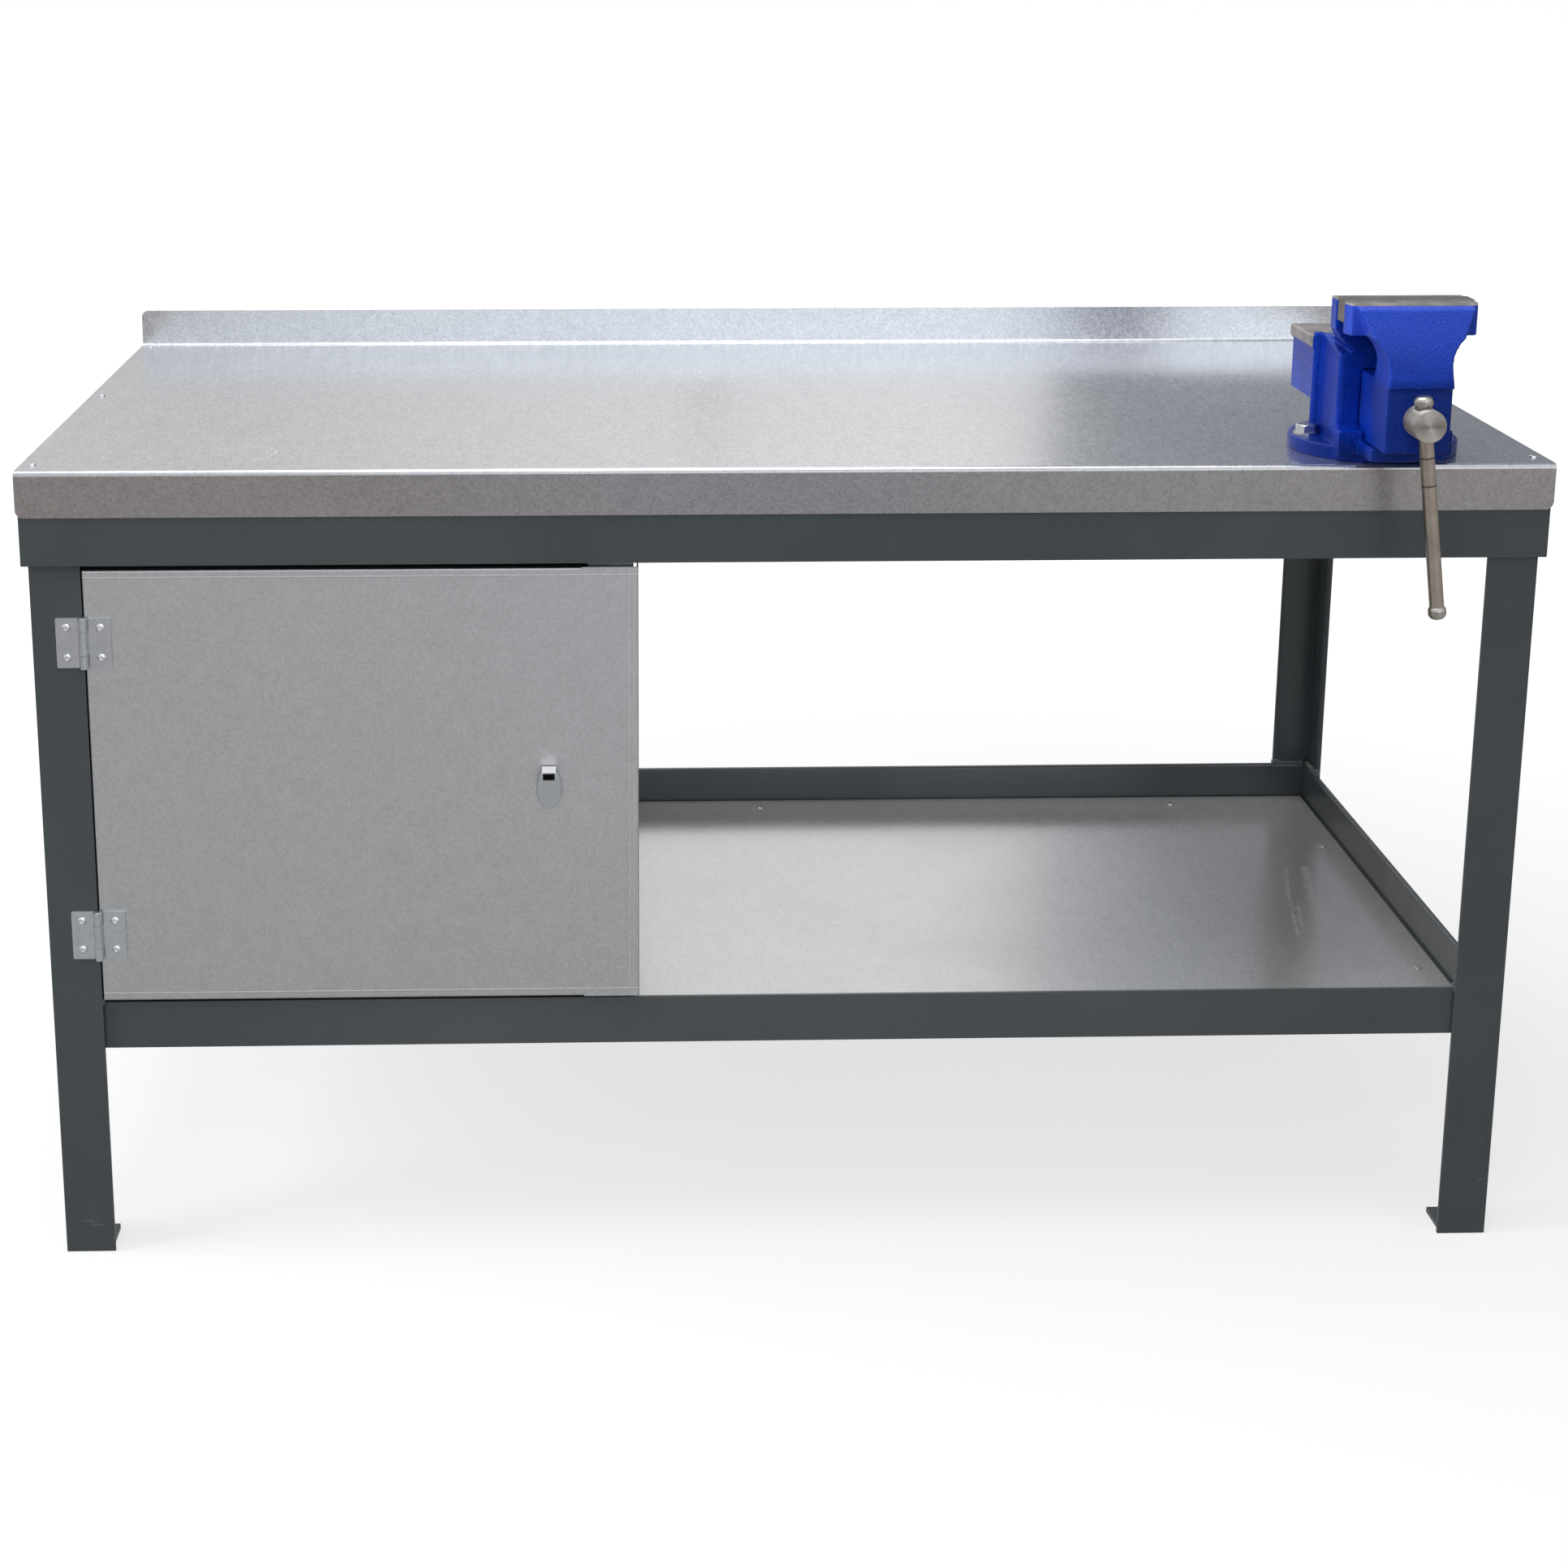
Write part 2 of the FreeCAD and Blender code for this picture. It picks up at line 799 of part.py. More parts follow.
def cupboard_screws():
    screws = [small_screw(seat, DOWN) for seat in panel_foot_seats()]
    for seat in panel_head_seats():
        screws.append(small_screw(seat, Z_AXIS))
    for seat, direction in panel_back_seats():
        screws.append(small_screw(seat, direction, small_screw_length / 2))
    return group(screws)


# Door, hinges and latch

def return_bend(end, edge, inwards):
    """What rounds off the fold of the return at height edge, as far as the return's end."""
    radius = door_return_bend_radius
    start = door_left - overrun
    inner = edge + inwards * radius
    heights = sorted((edge - inwards * overrun, inner))
    strip = block(start, end, door_front - overrun, door_front + radius, heights[0], heights[1])
    return strip.cut(rod(radius, end - start, Vec(start, door_front + radius, inner), X_AXIS))


def door_panel():
    """Pressed door. Its top and bottom returns stop short of the cupboard's strike plate."""
    skin = block(door_left, door_right, door_front, door_inner, door_bottom, door_top)
    deep = door_front + door_return
    stop = door_right - door_return_stop
    top = block(door_left, stop, door_front, deep, door_top - door_sheet, door_top)
    bottom = block(door_left, stop, door_front, deep, door_bottom, door_bottom + door_sheet)
    left = block(door_left, door_left + door_sheet, door_front, deep, door_bottom, door_top)
    right = block(door_right - door_sheet, door_right, door_front, deep, door_bottom, door_top)
    shape = joined([skin, top, bottom, left, right])

    def is_bend(edge, middle):
        if not near(middle.y, door_front):
            return False
        if runs_along(edge, Z_AXIS):
            return near(middle.x, door_left) or near(middle.x, door_right)
        return False

    shape = rounded(shape, door_bend_radius, is_bend)
    shape = shape.cut(return_bend(stop, door_top, -1)).cut(return_bend(stop, door_bottom, 1))
    bush = rod(latch_bush_radius + hole_clearance, door_sheet + 2 * overrun,
               Vec(latch_x, door_front - overrun, latch_height), Y_AXIS)
    return drilled(shape, rivet_holes(1) + [bush])


def rivet_places(x_side):
    """Rivet centres on the front of the leaves: -1 is the leg's side, 1 is the door's side."""
    places = []
    for height in hinge_heights:
        for step in (-1, 1):
            places.append(Vec(hinge_x + x_side * rivet_across, leaf_front,
                              height + step * rivet_spacing / 2))
    return places


def rivet_holes(x_side):
    depth = hinge_leaf_thickness + angle_thickness + 2 * overrun
    return [rod(rivet_radius + hole_clearance, depth, place - Y_AXIS * overrun, Y_AXIS)
            for place in rivet_places(x_side)]


def rivets(x_side, grip):
    """Blind rivets with domed heads and an open bore, set through grip millimetres."""
    shapes = []
    for place in rivet_places(x_side):
        head = rod(rivet_head_radius, rivet_head_height, place, TO_FRONT)
        edge_radius = rivet_head_height / 2
        head = rounded(head, edge_radius, lambda edge, middle: middle.y < leaf_front - edge_radius)
        shank = rod(rivet_radius, grip, place, Y_AXIS)
        tail = rod(rivet_tail_radius, rivet_tail_length, place + Y_AXIS * grip, Y_AXIS)
        whole = joined([head, shank, tail])
        mouth = place + TO_FRONT * (rivet_head_height + overrun)
        bore = rod(rivet_bore_radius, rivet_bore_depth + overrun, mouth, Y_AXIS)
        shapes.append(whole.cut(bore))
    return group(shapes)


def knuckle_spans(height, middle):
    """Height ranges of a hinge's knuckles: the door's middle one, or the frame's outer two."""
    half = hinge_middle_knuckle / 2
    if middle:
        return [(height - half, height + half)]
    end = hinge_height / 2
    inner = half + working_gap
    return [(height - end, height - inner), (height + inner, height + end)]


def hinge_leaf(height, x_side, middle):
    """Leaf with its rolled knuckles, bored for the pin and drilled for its rivets."""
    clear = hinge_knuckle_radius + guide_clearance
    inner = hinge_x + x_side * clear
    outer = hinge_x + x_side * hinge_reach
    xs = sorted((inner, outer))
    half = hinge_height / 2
    plate = block(xs[0], xs[1], leaf_front, door_front, height - half, height + half)

    def is_corner(edge, point):
        return runs_along(edge, Y_AXIS) and near(point.x, outer)

    parts = [rounded(plate, hinge_leaf_corner_radius, is_corner)]
    tab_end = hinge_x + x_side * door_hinge_gap
    tab_xs = sorted((tab_end, inner))
    for low, high in knuckle_spans(height, middle):
        parts.append(block(tab_xs[0], tab_xs[1], leaf_front, door_front, low, high))
        parts.append(rod(hinge_knuckle_radius, high - low, Vec(hinge_x, hinge_y, low), Z_AXIS))
    shape = joined(parts)
    bore = rod(hinge_pin_radius + running_clearance, hinge_height + 2 * overrun,
               Vec(hinge_x, hinge_y, height - half - overrun), Z_AXIS)
    return drilled(shape, rivet_holes(x_side) + [bore])


def hinge_pins():
    """Pins with a flat head on the top knuckle, cut flush below."""
    pins = []
    for height in hinge_heights:
        bottom = Vec(hinge_x, hinge_y, height - hinge_height / 2)
        pin = rod(hinge_pin_radius, hinge_height, bottom, Z_AXIS)
        head = rod(hinge_pin_head_radius, hinge_pin_head_height, bottom + Z_AXIS * hinge_height, Z_AXIS)
        pins.append(joined([pin, head]))
    return group(pins)


def latch_bush():
    """Flanged bush through the door that carries the latch handle's shaft."""
    centre = Vec(latch_x, bush_front, latch_height)
    flange = rod(latch_bush_flange_radius, latch_bush_flange_thickness, centre, Y_AXIS)
    barrel = rod(latch_bush_radius, latch_bush_length, centre, Y_AXIS)
    bore = rod(latch_shaft_radius + running_clearance, latch_bush_length + 2 * overrun,
               centre - Y_AXIS * overrun, Y_AXIS)
    return joined([flange, barrel]).cut(bore)


def latch_nut():
    seat = Vec(latch_x, door_inner, latch_height)
    nut = hexagon(latch_nut_flats, latch_nut_thickness, seat, Y_AXIS)
    bore = rod(latch_bush_radius + hole_clearance, latch_nut_thickness + 2 * overrun,
               seat - Y_AXIS * overrun, Y_AXIS)
    return nut.cut(bore)


def latch_handle():
    """Oval turn plate with a hollow padlock lug at its top and a shaft through the bush."""
    middle = Vec(latch_x, latch_plate_back, latch_height)
    oval = Part.Ellipse(middle + Z_AXIS * (latch_plate_height / 2),
                        middle + X_AXIS * (latch_plate_width / 2), middle)
    plate = loop_prism([oval.toShape()], TO_FRONT * latch_plate_thickness)
    plate = rounded(plate, latch_plate_edge_radius,
                    lambda edge, middle: near(middle.y, latch_plate_front))
    lug_top = latch_height + latch_plate_height / 2 + latch_lug_inset
    lug_bottom = lug_top - latch_lug_height
    lug_half = latch_lug_width / 2
    lug_front = latch_plate_front - latch_lug_reach
    lug = block(latch_x - lug_half, latch_x + lug_half, lug_front, latch_plate_back, lug_bottom, lug_top)
    wall = latch_lug_wall
    hollow = block(latch_x - lug_half + wall, latch_x + lug_half - wall, lug_front - overrun,
                   lug_front + latch_lug_depth, lug_bottom + wall, lug_top - wall)
    hole_start = Vec(latch_x - lug_half - overrun, lug_front + latch_lug_depth / 2,
                     (lug_bottom + lug_top) / 2)
    hole = rod(latch_lug_hole_radius, latch_lug_width + 2 * overrun, hole_start, X_AXIS)
    shaft_length = latch_cam_front - latch_plate_back
    shaft = rod(latch_shaft_radius, shaft_length, Vec(latch_x, latch_plate_back, latch_height), Y_AXIS)
    half_square = latch_square / 2
    square = block(latch_x - half_square, latch_x + half_square, latch_cam_front, latch_cam_back,
                   latch_height - half_square, latch_height + half_square)
    shape = joined([plate, lug, shaft, square]).cut(hollow).cut(hole)
    pilot = rod(latch_cam_screw_radius + hole_clearance, latch_cam_pilot_length,
                Vec(latch_x, latch_cam_back, latch_height), TO_FRONT)
    return shape.cut(pilot)


def latch_cam():
    """Flat cam that hangs down when open and turns behind the strike plate."""
    half = latch_cam_width / 2
    y = latch_cam_front
    tip = latch_height - latch_cam_reach
    left = Vec(latch_x - half, y, latch_height)
    right = Vec(latch_x + half, y, latch_height)
    low_left = Vec(latch_x - half, y, tip)
    low_right = Vec(latch_x + half, y, tip)
    crown = Vec(latch_x, y, latch_height + half)
    outline = [arc(right, crown, left), line(left, low_left), line(low_left, low_right),
               line(low_right, right)]
    cam = loop_prism(outline, Y_AXIS * latch_cam_thickness)
    half_hole = latch_square / 2 + hole_clearance
    hole = block(latch_x - half_hole, latch_x + half_hole, y - overrun, latch_cam_back + overrun,
                 latch_height - half_hole, latch_height + half_hole)
    return cam.cut(hole)


def latch_cam_screw():
    seat = Vec(latch_x, latch_cam_back, latch_height)
    head = rod(latch_cam_screw_head_radius, latch_cam_screw_head_height, seat, Y_AXIS)
    shank = rod(latch_cam_screw_radius, latch_cam_screw_length, seat, TO_FRONT)
    return joined([head, shank])


# Bench vice

def vice_block(half, v0, v1, w0, w1):
    """Box centred on the vice: v runs back from the jaw line and w up from the worktop."""
    return block(vice_x - half, vice_x + half, vice_y + v0, vice_y + v1, vice_z + w0, vice_z + w1)


def vice_point(u, v, w):
    return Vec(vice_x + u, vice_y + v, vice_z + w)


def side_prism(half, outline):
    """Solid across the vice from a side outline of (v, w) points."""
    points = [vice_point(-half, v, w) for v, w in outline]
    return prism(points, X_AXIS * (2 * half))


def vice_base():
    centre = Vec(vice_x, base_y, vice_z)
    base = rod(vice_base_radius, vice_base_thickness, centre, Z_AXIS)
    top = vice_z + vice_base_thickness
    return rounded(base, vice_base_edge_radius, lambda edge, middle: near(middle.z, top))


def vice_column():
    """Upright housing of the slide, with a sloping top and rounded front corners."""
    outline = [(column_front, vice_base_thickness), (column_back, vice_base_thickness),
               (column_back, column_top_back), (column_front, column_top_front)]
    column = side_prism(column_half_width, outline)

    def is_front_corner(edge, middle):
        return runs_along(edge, Z_AXIS) and near(middle.y, vice_y + column_front)

    return rounded(column, column_corner_radius, is_front_corner)


def fixed_neck():
    """Neck that rises from the column and flares out to the width of the jaw."""
    low = column_top_front - column_corner_radius
    flare_start = jaw_bottom - neck_flare_height
    neck_back = jaw_plate_thickness + fixed_jaw_thickness
    side = side_prism(jaw_half_width, [
        (throat_depth, low), (column_back, low), (column_back, column_top_back),
        (fixed_neck_back, column_top_back), (neck_back, jaw_bottom),
        (neck_back, jaw_top), (jaw_plate_thickness, jaw_top),
        (jaw_plate_thickness, jaw_bottom), (throat_depth, flare_start + neck_flare_height / 2),
    ])
    y = column_back
    half = fixed_neck_half_width
    wide = jaw_half_width
    flare = [(-half, low), (half, low), (half, flare_start), (wide, jaw_bottom), (wide, jaw_top),
             (-wide, jaw_top), (-wide, jaw_bottom), (-half, flare_start)]
    front_view = prism([vice_point(u, y, w) for u, w in flare], TO_FRONT * column_back)
    return side.common(front_view)


def anvil():
    """Flat anvil behind the jaw; its machined cap stands proud of the rough casting below."""
    body_top = anvil_top - anvil_cap
    body = vice_block(anvil_half_width - anvil_body_step, column_back, anvil_back - anvil_body_step,
                      anvil_bottom, body_top)
    cap = vice_block(anvil_half_width, column_back, anvil_back, body_top, anvil_top)
    return [body, cap]


def nut_screw_places():
    quarter = nut_length / 4
    middle = nut_front + nut_length / 2
    return [vice_point(0, middle - quarter, 0), vice_point(0, middle + quarter, 0)]


def jaw_screw_places():
    height = jaw_plate_top - jaw_plate_height / 2
    half = jaw_screw_spacing / 2
    return [vice_point(-half, 0, height), vice_point(half, 0, height)]


def jaw_screw(place, inward):
    """Countersunk socket screw whose head is flush with the face of a jaw plate."""
    face = place + inward * (working_gap / 2)
    depth = jaw_screw_head_depth
    head = Part.makeCone(jaw_screw_head_radius, jaw_screw_radius, depth, face, inward)
    shank = rod(jaw_screw_radius, jaw_screw_length - depth, face + inward * depth, inward)
    socket = hexagon(jaw_screw_socket_flats, jaw_screw_socket_depth, face, inward)
    return joined([head, shank]).cut(socket)


def jaw_screw_hole(place, inward):
    face = place + inward * (working_gap / 2)
    depth = jaw_screw_head_depth
    cone = Part.makeCone(jaw_screw_head_radius + hole_clearance, jaw_screw_radius + hole_clearance,
                         depth, face, inward)
    bore = rod(jaw_screw_radius + hole_clearance, jaw_screw_length, face, inward)
    return joined([cone, bore])


def vice_body():
    """Fixed casting: round base, slide housing, front tongue, anvil and fixed jaw."""
    foot = vice_block(foot_half_width, foot_front, column_front, vice_base_thickness / 2, foot_height)
    tongue = vice_block(tongue_half_width, tongue_front, column_front, tongue_bottom, slide_bottom)
    parts = [vice_base(), vice_column(), foot, tongue, fixed_neck()] + anvil()
    body = joined(parts)
    cavity = vice_block(slide_cavity_half_width, tongue_front - overrun, anvil_back + overrun,
                        slide_cavity_bottom, slide_cavity_top)
    body = body.cut(cavity)
    holes = vice_bolt_holes()
    for place in nut_screw_places():
        shank = rod(nut_screw_radius + hole_clearance, slide_cavity_bottom + 2 * overrun,
                    place - Z_AXIS * overrun, Z_AXIS)
        sink = rod(nut_screw_head_radius + hole_clearance,
                   nut_screw_head_height + nut_screw_sink + overrun, place - Z_AXIS * overrun, Z_AXIS)
        holes += [shank, sink]
    holes += [jaw_screw_hole(place, Y_AXIS) for place in jaw_screw_places()]
    return drilled(body, holes)


def jaw_plate(inward):
    """Hardened plate on one jaw, drilled for its two screws."""
    start = working_gap / 2
    ys = sorted((vice_y + inward.y * start, vice_y + inward.y * jaw_plate_thickness))
    half = jaw_plate_length / 2
    plate = block(vice_x - half, vice_x + half, ys[0], ys[1],
                  vice_z + jaw_plate_top - jaw_plate_height, vice_z + jaw_plate_top)
    return drilled(plate, [jaw_screw_hole(place, inward) for place in jaw_screw_places()])


def jaw_screws(inward):
    return group([jaw_screw(place, inward) for place in jaw_screw_places()])


def vice_nut():
    """Nut that stands on the housing's floor, inside the slide."""
    nut = vice_block(nut_half_width, nut_front, nut_front + nut_length, slide_cavity_bottom, nut_top)
    bore = rod(screw_radius + running_clearance, nut_length + 2 * overrun,
               vice_point(0, nut_front - overrun, screw_height), Y_AXIS)
    holes = [bore]
    for place in nut_screw_places():
        holes.append(rod(nut_screw_radius + hole_clearance, nut_screw_depth, place, Z_AXIS))
    return drilled(nut, holes)


def vice_nut_screws():
    screws = []
    for place in nut_screw_places():
        seat = place + Z_AXIS * (nut_screw_sink + nut_screw_head_height)
        head = rod(nut_screw_head_radius, nut_screw_head_height, seat, DOWN)
        length = nut_screw_depth - nut_screw_head_height - 2 * nut_screw_sink
        shank = rod(nut_screw_radius, length, seat, Z_AXIS)
        screws.append(joined([head, shank]))
    return group(screws)


def vice_bolts():
    """Hexagon bolts down through the base, the sheet and the board."""
    bolts = []
    grip = vice_base_thickness + washer_thickness + sheet_thickness + board_thickness
    length = grip + washer_thickness + vice_bolt_nut + vice_bolt_tail
    for place in vice_bolt_places():
        seat = place + Z_AXIS * (vice_base_thickness + washer_thickness)
        head = hexagon(vice_bolt_flats, vice_bolt_head, seat, Z_AXIS)
        bolts.append(joined([head, rod(vice_bolt_radius, length, seat, DOWN)]))
    return group(bolts)


def washer(seat):
    ring = rod(washer_radius, washer_thickness, seat, Z_AXIS)
    return ring.cut(rod(vice_bolt_hole_radius, washer_thickness + 2 * overrun,
                        seat - Z_AXIS * overrun, Z_AXIS))


def vice_washers():
    rings = []
    for place in vice_bolt_places():
        rings.append(washer(place + Z_AXIS * vice_base_thickness))
        rings.append(washer(Vec(place.x, place.y, board_bottom - washer_thickness)))
    return group(rings)


def vice_bolt_nuts():
    nuts = []
    for place in vice_bolt_places():
        top = Vec(place.x, place.y, board_bottom - washer_thickness)
        nut = hexagon(vice_bolt_flats, vice_bolt_nut, top, DOWN)
        bore = rod(vice_bolt_radius + hole_clearance, vice_bolt_nut + 2 * overrun,
                   top + Z_AXIS * overrun, DOWN)
        nuts.append(nut.cut(bore))
    return group(nuts)


def moving_head():
    """Leaning head with an S-shaped flare, chamfered towards the front."""
    bar_front = -jaw_plate_thickness - jaw_bar_thickness
    machined = -jaw_plate_thickness - head_machined_depth
    seat = -jaw_plate_thickness
    low = slide_top - head_overhang
    throat_middle = vice_point(-jaw_half_width, seat - moving_throat_curve, (slide_top + jaw_bottom) / 2)
    front_low = slide_front - head_overhang

    def at(v, w):
        return vice_point(-jaw_half_width, v, w)

    side = loop_prism([
        line(at(front_low, low), at(front_low, slide_top + head_overhang)),
        line(at(front_low, slide_top + head_overhang), at(head_top_front, jaw_top - head_bevel_height)),
        line(at(head_top_front, jaw_top - head_bevel_height), at(machined, jaw_top)),
        line(at(machined, jaw_top), at(seat, jaw_top)),
        line(at(seat, jaw_top), at(seat, jaw_bottom)),
        arc(at(seat, jaw_bottom), throat_middle, at(seat, slide_top)),
        line(at(seat, slide_top), at(seat, low)),
        line(at(seat, low), at(front_low, low)),
    ], X_AXIS * (2 * jaw_half_width))

    waist = head_waist_half_width
    shoulder = head_shoulder_half_width
    widening = shoulder - waist
    rise = head_shoulder_height - head_waist_height
    flare_radius = (widening ** 2 + rise ** 2) / (2 * widening)
    half_turn = math.asin(rise / flare_radius) / 2
    bend_u = waist + flare_radius * (1 - math.cos(half_turn))
    bend_w = head_waist_height + flare_radius * math.sin(half_turn)

    def front_at(u, w):
        return vice_point(u, front_low, w)

    edges = []
    corner = slide_half_width
    edges.append(line(front_at(-corner, low), front_at(corner, low)))
    for sign in (1, -1):
        edges += [
            line(front_at(sign * corner, low), front_at(sign * corner, slide_top)),
            line(front_at(sign * corner, slide_top), front_at(sign * waist, slide_top + head_skirt)),
            line(front_at(sign * waist, slide_top + head_skirt),
                 front_at(sign * waist, head_waist_height)),
            arc(front_at(sign * waist, head_waist_height), front_at(sign * bend_u, bend_w),
                front_at(sign * shoulder, head_shoulder_height)),
            line(front_at(sign * shoulder, head_shoulder_height),
                 front_at(sign * head_front_half_width, jaw_top)),
        ]
    edges.append(line(front_at(-head_front_half_width, jaw_top),
                      front_at(head_front_half_width, jaw_top)))
    loop = Part.__sortEdges__(edges)
    front_view = loop_prism(loop, Y_AXIS * (seat - front_low))
    bar = vice_block(jaw_half_width, bar_front, seat, jaw_bottom, jaw_top)
    return joined([side.common(front_view), side.common(bar)])


def head_chamfers():
    """Wedges that narrow the moving head from the jaw bar to its front face."""
    start = -jaw_plate_thickness - head_chamfer_start
    slope = (jaw_half_width - head_front_half_width) / (start - head_top_front)
    far = slide_front - head_overhang - overrun
    reach = jaw_half_width - slope * (start - far)
    wedges = []
    for sign in (-1, 1):
        points = [
            vice_point(sign * jaw_half_width, start, slide_top + head_skirt),
            vice_point(sign * reach, far, slide_top + head_skirt),
            vice_point(sign * (jaw_half_width + overrun), far, slide_top + head_skirt),
            vice_point(sign * (jaw_half_width + overrun), start, slide_top + head_skirt),
        ]
        wedges.append(prism(points, Z_AXIS * (jaw_top - slide_top)))
    return wedges


def moving_jaw():
    """Moving casting: leaning head on a channel-shaped slide that is open below."""
    slide = vice_block(slide_half_width, slide_front, slide_back, slide_bottom, slide_top)
    hollow = vice_block(slide_half_width - slide_wall, slide_front + slide_front_wall,
                        slide_back + overrun, slide_bottom - overrun, slide_top - slide_wall)
    head = moving_head()
    for wedge in head_chamfers():
        head = head.cut(wedge)
    shape = joined([slide, head]).cut(hollow)
    bore = rod(screw_radius + running_clearance, slide_front_wall + 2 * overrun,
               vice_point(0, slide_front - overrun, screw_height), Y_AXIS)
    holes = [bore] + [jaw_screw_hole(place, TO_FRONT) for place in jaw_screw_places()]
    return drilled(shape, holes)


def thrust_washer():
    seat = vice_point(0, slide_front, screw_height)
    ring = rod(thrust_washer_radius, thrust_washer_thickness, seat, TO_FRONT)
    return ring.cut(rod(screw_radius + running_clearance, thrust_washer_thickness + 2 * overrun,
                        seat + Y_AXIS * overrun, TO_FRONT))


def vice_screw():
    """Screw with its round head, cross-drilled for the handle and spot-faced round the hole."""
    back_of_head = vice_point(0, screw_head_back, screw_height)
    head = rod(screw_head_radius, screw_head_length, back_of_head, TO_FRONT)
    face = vice_y + screw_head_back - screw_head_length
    head = head.makeChamfer(screw_head_chamfer, [edge for edge in head.Edges
                                                 if near(edge.valueAt(edge.FirstParameter).y, face)
                                                 and not runs_along(edge, Y_AXIS)])
    shaft = rod(screw_radius, screw_end - screw_head_back, back_of_head, Y_AXIS)
    shape = joined([head, shaft])
    hole = rod(handle_radius + handle_hole_clearance, 2 * handle_knob_spacing,
               screw_centre - handle_up * handle_knob_spacing, handle_up)
    flats = []
    for sign in (-1, 1):
        start = screw_centre + handle_up * (sign * handle_flat_height)
        flats.append(rod(handle_flat_radius, screw_head_radius, start, handle_up * sign))
    return drilled(shape, [hole] + flats)


def screw_collar():
    """Collar behind the front wall that draws the jaw open with the screw."""
    front_face = slide_front + slide_front_wall + working_gap
    collar = rod(screw_collar_radius, screw_collar_length, vice_point(0, front_face, screw_height), Y_AXIS)
    bore = rod(screw_radius + hole_clearance, screw_collar_length + 2 * overrun,
               vice_point(0, front_face - overrun, screw_height), Y_AXIS)
    return collar.cut(bore)


def knob(radius, height, seat, direction):
    """Turned end knob with rounded rims; seat is the middle of the face towards the screw."""
    body = rod(radius, height, seat, direction)
    rim = height * handle_knob_round_share
    return rounded(body, rim, lambda edge, middle: not runs_along(edge, direction))


upper_knob_seat = screw_centre + handle_up * (handle_flat_height + working_gap)
lower_knob_reach = (handle_knob_spacing - handle_flat_height - working_gap
                    - handle_upper_knob_height / 2 - handle_lower_knob_height / 2)
lower_knob_seat = screw_centre - handle_up * lower_knob_reach


def handle_socket(seat, direction, height):
    """Blind hole in a knob for the bar's end."""
    return rod(handle_radius + hole_clearance, height / 2 + overrun, seat - direction * overrun, direction)


def handle_knob_upper():
    body = knob(handle_upper_knob_radius, handle_upper_knob_height, upper_knob_seat, handle_up)
    return body.cut(handle_socket(upper_knob_seat, handle_up, handle_upper_knob_height))


def handle_knob_lower():
    down = handle_up * -1
    body = knob(handle_lower_knob_radius, handle_lower_knob_height, lower_knob_seat, down)
    return body.cut(handle_socket(lower_knob_seat, down, handle_lower_knob_height))


def handle_bar():
    start = lower_knob_seat - handle_up * (handle_lower_knob_height / 2)
    end = upper_knob_seat + handle_up * (handle_upper_knob_height / 2)
    return rod(handle_radius, (end - start).Length, start, handle_up)


# Every sub-part with its node name

corners = {"front_left": (-1, -1), "front_right": (1, -1), "back_left": (-1, 1), "back_right": (1, 1)}
sides = ("front", "right", "back", "left")
nodes = {}
for name, (x_side, y_side) in corners.items():
    nodes["leg_" + name] = leg(x_side, y_side)
    nodes["foot_plate_" + name] = foot_plate(x_side, y_side)
for quarter_turns, name in enumerate(sides):
    nodes["top_rail_" + name] = top_rail(quarter_turns)
    nodes["shelf_rail_" + name] = shelf_rail(quarter_turns)
for name, height in zip(("lower", "upper"), hinge_heights):
    nodes["hinge_frame_leaf_" + name] = hinge_leaf(height, -1, False)
    nodes["hinge_door_leaf_" + name] = hinge_leaf(height, 1, True)

nodes["top_bearer"] = top_bearer()
nodes["shelf_bearer"] = shelf_bearer()
nodes["worktop_board"] = worktop_board()
nodes["worktop_sheet"] = worktop_sheet()
nodes["worktop_screws"] = worktop_screws()
nodes["board_screws"] = board_screws()
nodes["shelf_sheet"] = shelf_sheet()
nodes["shelf_screws"] = shelf_screws()
nodes["cupboard_side_panel"] = cupboard_side_panel()
nodes["cupboard_end_panel"] = cupboard_end_panel()
nodes["strike_plate"] = strike_plate()
nodes["cupboard_back_panel"] = cupboard_back_panel()
nodes["cupboard_screws"] = cupboard_screws()
nodes["door_panel"] = door_panel()
nodes["hinge_pins"] = hinge_pins()
nodes["frame_rivets"] = rivets(-1, hinge_leaf_thickness + angle_thickness)
nodes["door_rivets"] = rivets(1, hinge_leaf_thickness + door_sheet)
nodes["latch_bush"] = latch_bush()
nodes["latch_nut"] = latch_nut()
nodes["latch_handle"] = latch_handle()
nodes["latch_cam"] = latch_cam()
nodes["latch_cam_screw"] = latch_cam_screw()
nodes["vice_body"] = vice_body()
nodes["fixed_jaw_plate"] = jaw_plate(Y_AXIS)
nodes["fixed_jaw_screws"] = jaw_screws(Y_AXIS)
nodes["vice_nut"] = vice_nut()
nodes["vice_nut_screws"] = vice_nut_screws()
nodes["vice_bolts"] = vice_bolts()
nodes["vice_washers"] = vice_washers()
nodes["vice_bolt_nuts"] = vice_bolt_nuts()
nodes["moving_jaw"] = moving_jaw()
nodes["moving_jaw_plate"] = jaw_plate(TO_FRONT)
nodes["moving_jaw_screws"] = jaw_screws(TO_FRONT)
nodes["thrust_washer"] = thrust_washer()
nodes["vice_screw"] = vice_screw()
nodes["screw_collar"] = screw_collar()
nodes["handle_bar"] = handle_bar()
nodes["handle_knob_upper"] = handle_knob_upper()
nodes["handle_knob_lower"] = handle_knob_lower()

os.makedirs("parts", exist_ok=True)
for name, shape in nodes.items():
    shape.exportStep("parts/" + name + ".step")
print(len(nodes), "sub-parts written")
